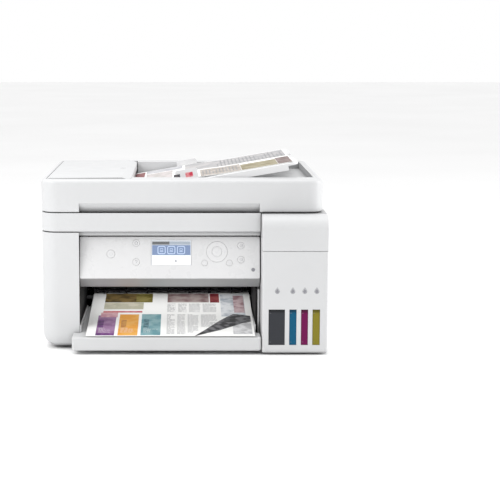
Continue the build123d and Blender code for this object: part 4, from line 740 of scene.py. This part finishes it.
# the dark roof line across the picture at the page's right: x, and its two edges along the page
ROOF_LINE = [(137.5, 0, 1.5), (154, 13, 32), (171, 25, 65), (180, 34, 80), (190, 43, 95),
             (201, 54, 91), (213, 61, 86)]
NOTE_BLOCKS = [(10, 29), (39, 59), (69, 89)]  # across the page
TEXT_COLUMNS = [(100, 111, 9, 94), (114, 125, 9, 94), (128, 143, 16, 94), (146, 168, 40, 94),
                (100, 112, 104, 142), (115, 127, 104, 142), (130, 146, 104, 142),
                (149, 168, 104, 142)]


def make_way(pieces):
    """Gives each piece a mesh of its own."""
    for piece in pieces:
        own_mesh(piece)


def printed_sheets():
    """Two fresh sheets: the upper one carries a made-up page of blocks, pictures and columns."""
    body = "exit_tray"
    top_lift = 0.22 * MM
    pieces = []
    for name, left, front, lift in (("printed_sheet_top", PRINT_LEFT, 0.0, top_lift),
                                    ("printed_sheet_below", PRINT_LEFT - 5.2 * MM, 1.2 * MM,
                                     -0.08 * MM)):
        span = (left, left + LETTER_WIDE, front, front + LETTER_LONG)
        pieces.append(sheet_of_paper(name, printed_point, span, lift, sheet_white, body,
                                     thickness=0.1 * MM, steps=60))
    layers = [top_lift + 0.05 * MM + layer * 0.03 * MM for layer in range(4)]
    tints = {name: print_ink("print_" + name, *tones) for name, tones in PAGE_TINTS.items()}

    for number, (tint, layer, areas) in enumerate(PAGE_PATCHES):
        spans = [across_page(x0, x1) + (a0 * MM, a1 * MM) for x0, x1, a0, a1 in areas]
        pieces.append(patches(f"print_{number + 1}_{tint}", printed_point, spans, layers[layer],
                              tints[tint], body))
    roof = [(PRINT_LEFT + x * MM, low * MM, high * MM) for x, low, high in ROOF_LINE]
    pieces.append(shaped_patch("print_roof_line", printed_point, roof, layers[2], tints["dusk"],
                               body))

    notes, columns = [], []
    for number, (x0, x1) in enumerate(NOTE_BLOCKS):
        notes += text_lines(5 + number, across_page(x0, x1), (16 * MM, 34 * MM), 4.2 * MM, 1.0 * MM)
    for number, (x0, x1, a0, a1) in enumerate(TEXT_COLUMNS):
        columns += text_lines(20 + number, across_page(x0, x1), (a0 * MM, a1 * MM), 3.6 * MM,
                              1.5 * MM, 0.1)
    pieces.append(patches("print_block_notes", printed_point, notes, layers[3], sheet_grey, body))
    pieces.append(patches("print_columns", printed_point, columns, layers[0], print_text, body))
    make_way(pieces)


printed_sheets()


# ---------------------------------------------------------------- originals on the input tray
pivot = Vector(joints["input_tray_tilt"]["pos_m"])
tray_face = max(frame["nodes"]["adf_input_tray"].data.polygons, key=lambda polygon: polygon.area)
tray_normal = Vector(tray_face.normal) * (1 if tray_face.normal.z > 0 else -1)
rise_angle = math.atan2(-tray_normal.x, tray_normal.z)
guide_face_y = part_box("adf_guide_front")[0].y
tray_middle = (guide_face_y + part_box("adf_guide_rear")[1].y) / 2


def original_point(across, along, lift):
    """A point of the stack: across the tray, along it from the feeder's slot, and above it.

    Past the edge guides' feet, which carry it there, the stack sinks onto the tray.
    """
    feet_end, settled, drop = 78 * MM, 118 * MM, 1.35 * MM
    lift -= drop * min(1.0, max(0.0, (along - feet_end) / (settled - feet_end)))
    return (pivot.x + along * math.cos(rise_angle) - lift * math.sin(rise_angle),
            tray_middle + across,
            pivot.z + along * math.sin(rise_angle) + lift * math.cos(rise_angle))


def squashed(piece):
    """Gives the piece a mesh of its own."""
    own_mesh(piece)


ORIGINAL_TINTS = {  # two tones, and the scale of their patches
    "wine": ((0.20, 0.05, 0.06), (0.34, 0.14, 0.14), 90.0),
    "slate": ((0.46, 0.46, 0.49), (0.62, 0.62, 0.64), 60.0),
    "sand": ((0.50, 0.48, 0.46), (0.66, 0.60, 0.60), 60.0),
    "taupe": ((0.38, 0.34, 0.30), (0.54, 0.49, 0.45), 70.0),
    "olive": ((0.26, 0.22, 0.13), (0.38, 0.34, 0.23), 60.0),
    "mauve": ((0.17, 0.12, 0.11), (0.29, 0.23, 0.22), 90.0),
    "pearl": ((0.40, 0.40, 0.41), (0.54, 0.52, 0.52), 60.0),
}
ORIGINAL_PATCHES = [  # tint, and a rectangle: across from the stack's middle, and along it, in mm
    ("wine", (-20, 96, -11, 3)),
    ("slate", (60, 104, 5, 58)),
    ("sand", (-90, 54, 6, 44)),
    ("taupe", (-106.5, -12, 83, 138.5)),
    ("olive", (-106.5, -26, 139, 188)),
    ("mauve", (-106.5, -14, 188.5, 207)),
    ("pearl", (0, 104, 62, 206)),
]


def originals():
    """A short stack of originals on the input tray, fanned a little at the far end."""
    body = "input_tray"
    base, step, thickness = 5.2 * MM, 0.16 * MM, 0.13 * MM
    sheets = 5
    half, feed_end, far_end, fan = LETTER_WIDE / 2 - 0.3 * MM, -12 * MM, 208 * MM, 1.4 * MM
    for index in range(sheets):
        span = (half, -half, feed_end, far_end - fan * index)
        lift = base + (sheets - 1 - index) * step
        tone = sheet_grey if index % 2 else sheet_white
        squashed(sheet_of_paper(f"original_{index + 1}", original_point, span, lift, tone, body,
                                thickness, steps=55))
    on = base + (sheets - 1) * step + 0.1 * MM
    for tint, area in ORIGINAL_PATCHES:
        tone = print_ink("original_" + tint, *ORIGINAL_TINTS[tint])
        squashed(patches(f"original_print_{tint}", original_point,
                         [tuple(edge * MM for edge in area)], on, tone, body))
    rows = text_lines(41, (-90 * MM, -20 * MM), (86 * MM, 136 * MM), 4.6 * MM, 1.6 * MM)
    rows += text_lines(42, (4 * MM, 98 * MM), (108 * MM, 200 * MM), 5.4 * MM, 1.6 * MM)
    squashed(patches("original_print_text", original_point, rows, on + 0.08 * MM, print_text, body))


def guide_marks():
    """Two small printed blocks on the outer face of the front edge guide."""
    along_tray = Vector((math.cos(rise_angle), 0, math.sin(rise_angle)))
    dark = print_ink("guide_print_dark", (0.09, 0.09, 0.10), (0.20, 0.16, 0.16), 300.0)
    red = print_ink("guide_print_red", (0.62, 0.05, 0.09), (0.80, 0.30, 0.32), 300.0)
    for name, tone, x, up, wide, high in (("size_mark_dark", dark, 51.8, 11.2, 8.5, 5.0),
                                          ("size_mark_red", red, 68.3, 11.0, 9.8, 6.2)):
        origin = pivot + along_tray * x * MM + tray_normal * up * MM
        face = Surface((origin.x, guide_face_y, origin.z), along_tray, tray_normal)
        marks(name, face, [], [rectangle(0, 0, wide * MM, high * MM)], tone, "front_guide")


originals()
guide_marks()


# ---------------------------------------------------------------- feeder and rear details
def feeder_marks():
    """The small face-up symbol on the feeder's cover, by its slot: a sheet with three lines."""
    low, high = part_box("adf_cover")
    above = (high.x - 16 * MM, (low.y + high.y) / 2, high.z + 1 * MM)
    top = surface_on("adf_cover", above, (0, 0, -1), (1, 0, 0))
    symbol = [(rectangle(0, 0, 6 * MM, 8 * MM), 0.6 * MM, True)]
    symbol += [([(-1.8 * MM, y * MM), (1.8 * MM, y * MM)], 0.5 * MM, False) for y in (-2, 0, 2)]
    marks("face_up_symbol", top, symbol, [], marking_grey, "feeder_cover")


def rear_marks():
    """A blank rating plate under the rear vents, with its ruled lines."""
    rear = Surface((0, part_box("case_screws")[1].y - 2 * MM, 0), (-1, 0, 0), (0, 0, 1))
    middle, wide, rule_half = -128 * MM, 52 * MM, 22 * MM
    plate = rectangle(middle, 33 * MM, wide, 22 * MM, 2 * MM)
    marks("rating_plate", rear, [], [plate], sheet_grey, "printer", 0.08 * MM)
    rules = [([(middle - rule_half, z * MM), (middle + rule_half, z * MM)], 0.6 * MM, False)
             for z in (27, 31, 35, 39)]
    marks("rating_plate_rules", rear, rules, [], marking_pale, "printer", 0.12 * MM)


feeder_marks()
rear_marks()


# ---------------------------------------------------------------- camera, light and floor
def set_camera():
    """A long lens a little above the printer, with the frame's middle to the right of it."""
    look_down = 8.22
    camera = bpy.data.objects.new("camera", bpy.data.cameras.new("camera"))
    scene.collection.objects.link(camera)
    camera.location = (0.0, -2.0385, 0.4076)
    camera.rotation_euler = (math.radians(90 - look_down), 0, 0)
    camera.data.sensor_width = 36.0
    camera.data.lens = 105.1
    camera.data.shift_x = 0.1327
    camera.data.clip_end = 50.0
    scene.camera = camera


LAMPS = [  # name, place, target, size, watts
    ("overhead", (-0.3, -0.1, 2.2), (0, 0, 0.1), (1.4, 1.4), 17.0),
    ("left_front", (-0.65, -0.55, 0.65), (-0.15, -0.14, 0.15), (0.4, 0.4), 2.9),
    ("right_rim", (1.1, -0.05, 0.42), (0.1, 0.0, 0.2), (0.5, 0.5), 5.0),
    ("bay_fill", (-0.018, -0.05, 0.0828), (-0.018, -0.05, 0.0), (0.23, 0.1), 0.09),
]


def area_light(name, place_at, target, size, power):
    """A soft light, as wide and as deep as its size says."""
    light = bpy.data.objects.new(name, bpy.data.lights.new(name, "AREA"))
    light.data.shape = "RECTANGLE"
    light.data.size, light.data.size_y = size
    light.data.energy = power
    light.visible_camera = False
    light.location = place_at
    light.rotation_euler = (Vector(target) - Vector(place_at)).to_track_quat("-Z", "Y").to_euler()
    scene.collection.objects.link(light)


def lay_floor():
    """A pale plain floor, just under the feet."""
    material, tree, shader = start_material("floor", Roughness=0.7)
    cloud = noise(tree, place(tree), 1.5)
    feed(tree, shader, Base_Color=ramp(tree, cloud, [(0.3, (0.90,) * 3), (0.7, (0.93,) * 3)]))
    mesh = bpy.data.meshes.new("floor")
    size, gap = 12.0, 0.2 * MM
    mesh.from_pydata([(-size, -size, 0), (size, -size, 0), (size, size, 0), (-size, size, 0)], [],
                     [(0, 1, 2, 3)])
    mesh.materials.append(material)
    floor = bpy.data.objects.new("floor", mesh)
    floor.location.z = cad_box[0][2] - gap
    scene.collection.objects.link(floor)


def studio():
    """A pale floor under an even sky, with soft lights round the printer and one in its bay."""
    world = bpy.data.worlds.new("studio")
    scene.world = world
    world.use_nodes = True
    sky = world.node_tree.nodes["Background"]
    sky.inputs["Color"].default_value = (1.0, 1.0, 1.0, 1.0)
    sky.inputs["Strength"].default_value = 1.0
    for lamp in LAMPS:
        area_light(*lamp)
    lay_floor()


set_camera()
studio()
scene.view_settings.view_transform = "Standard"
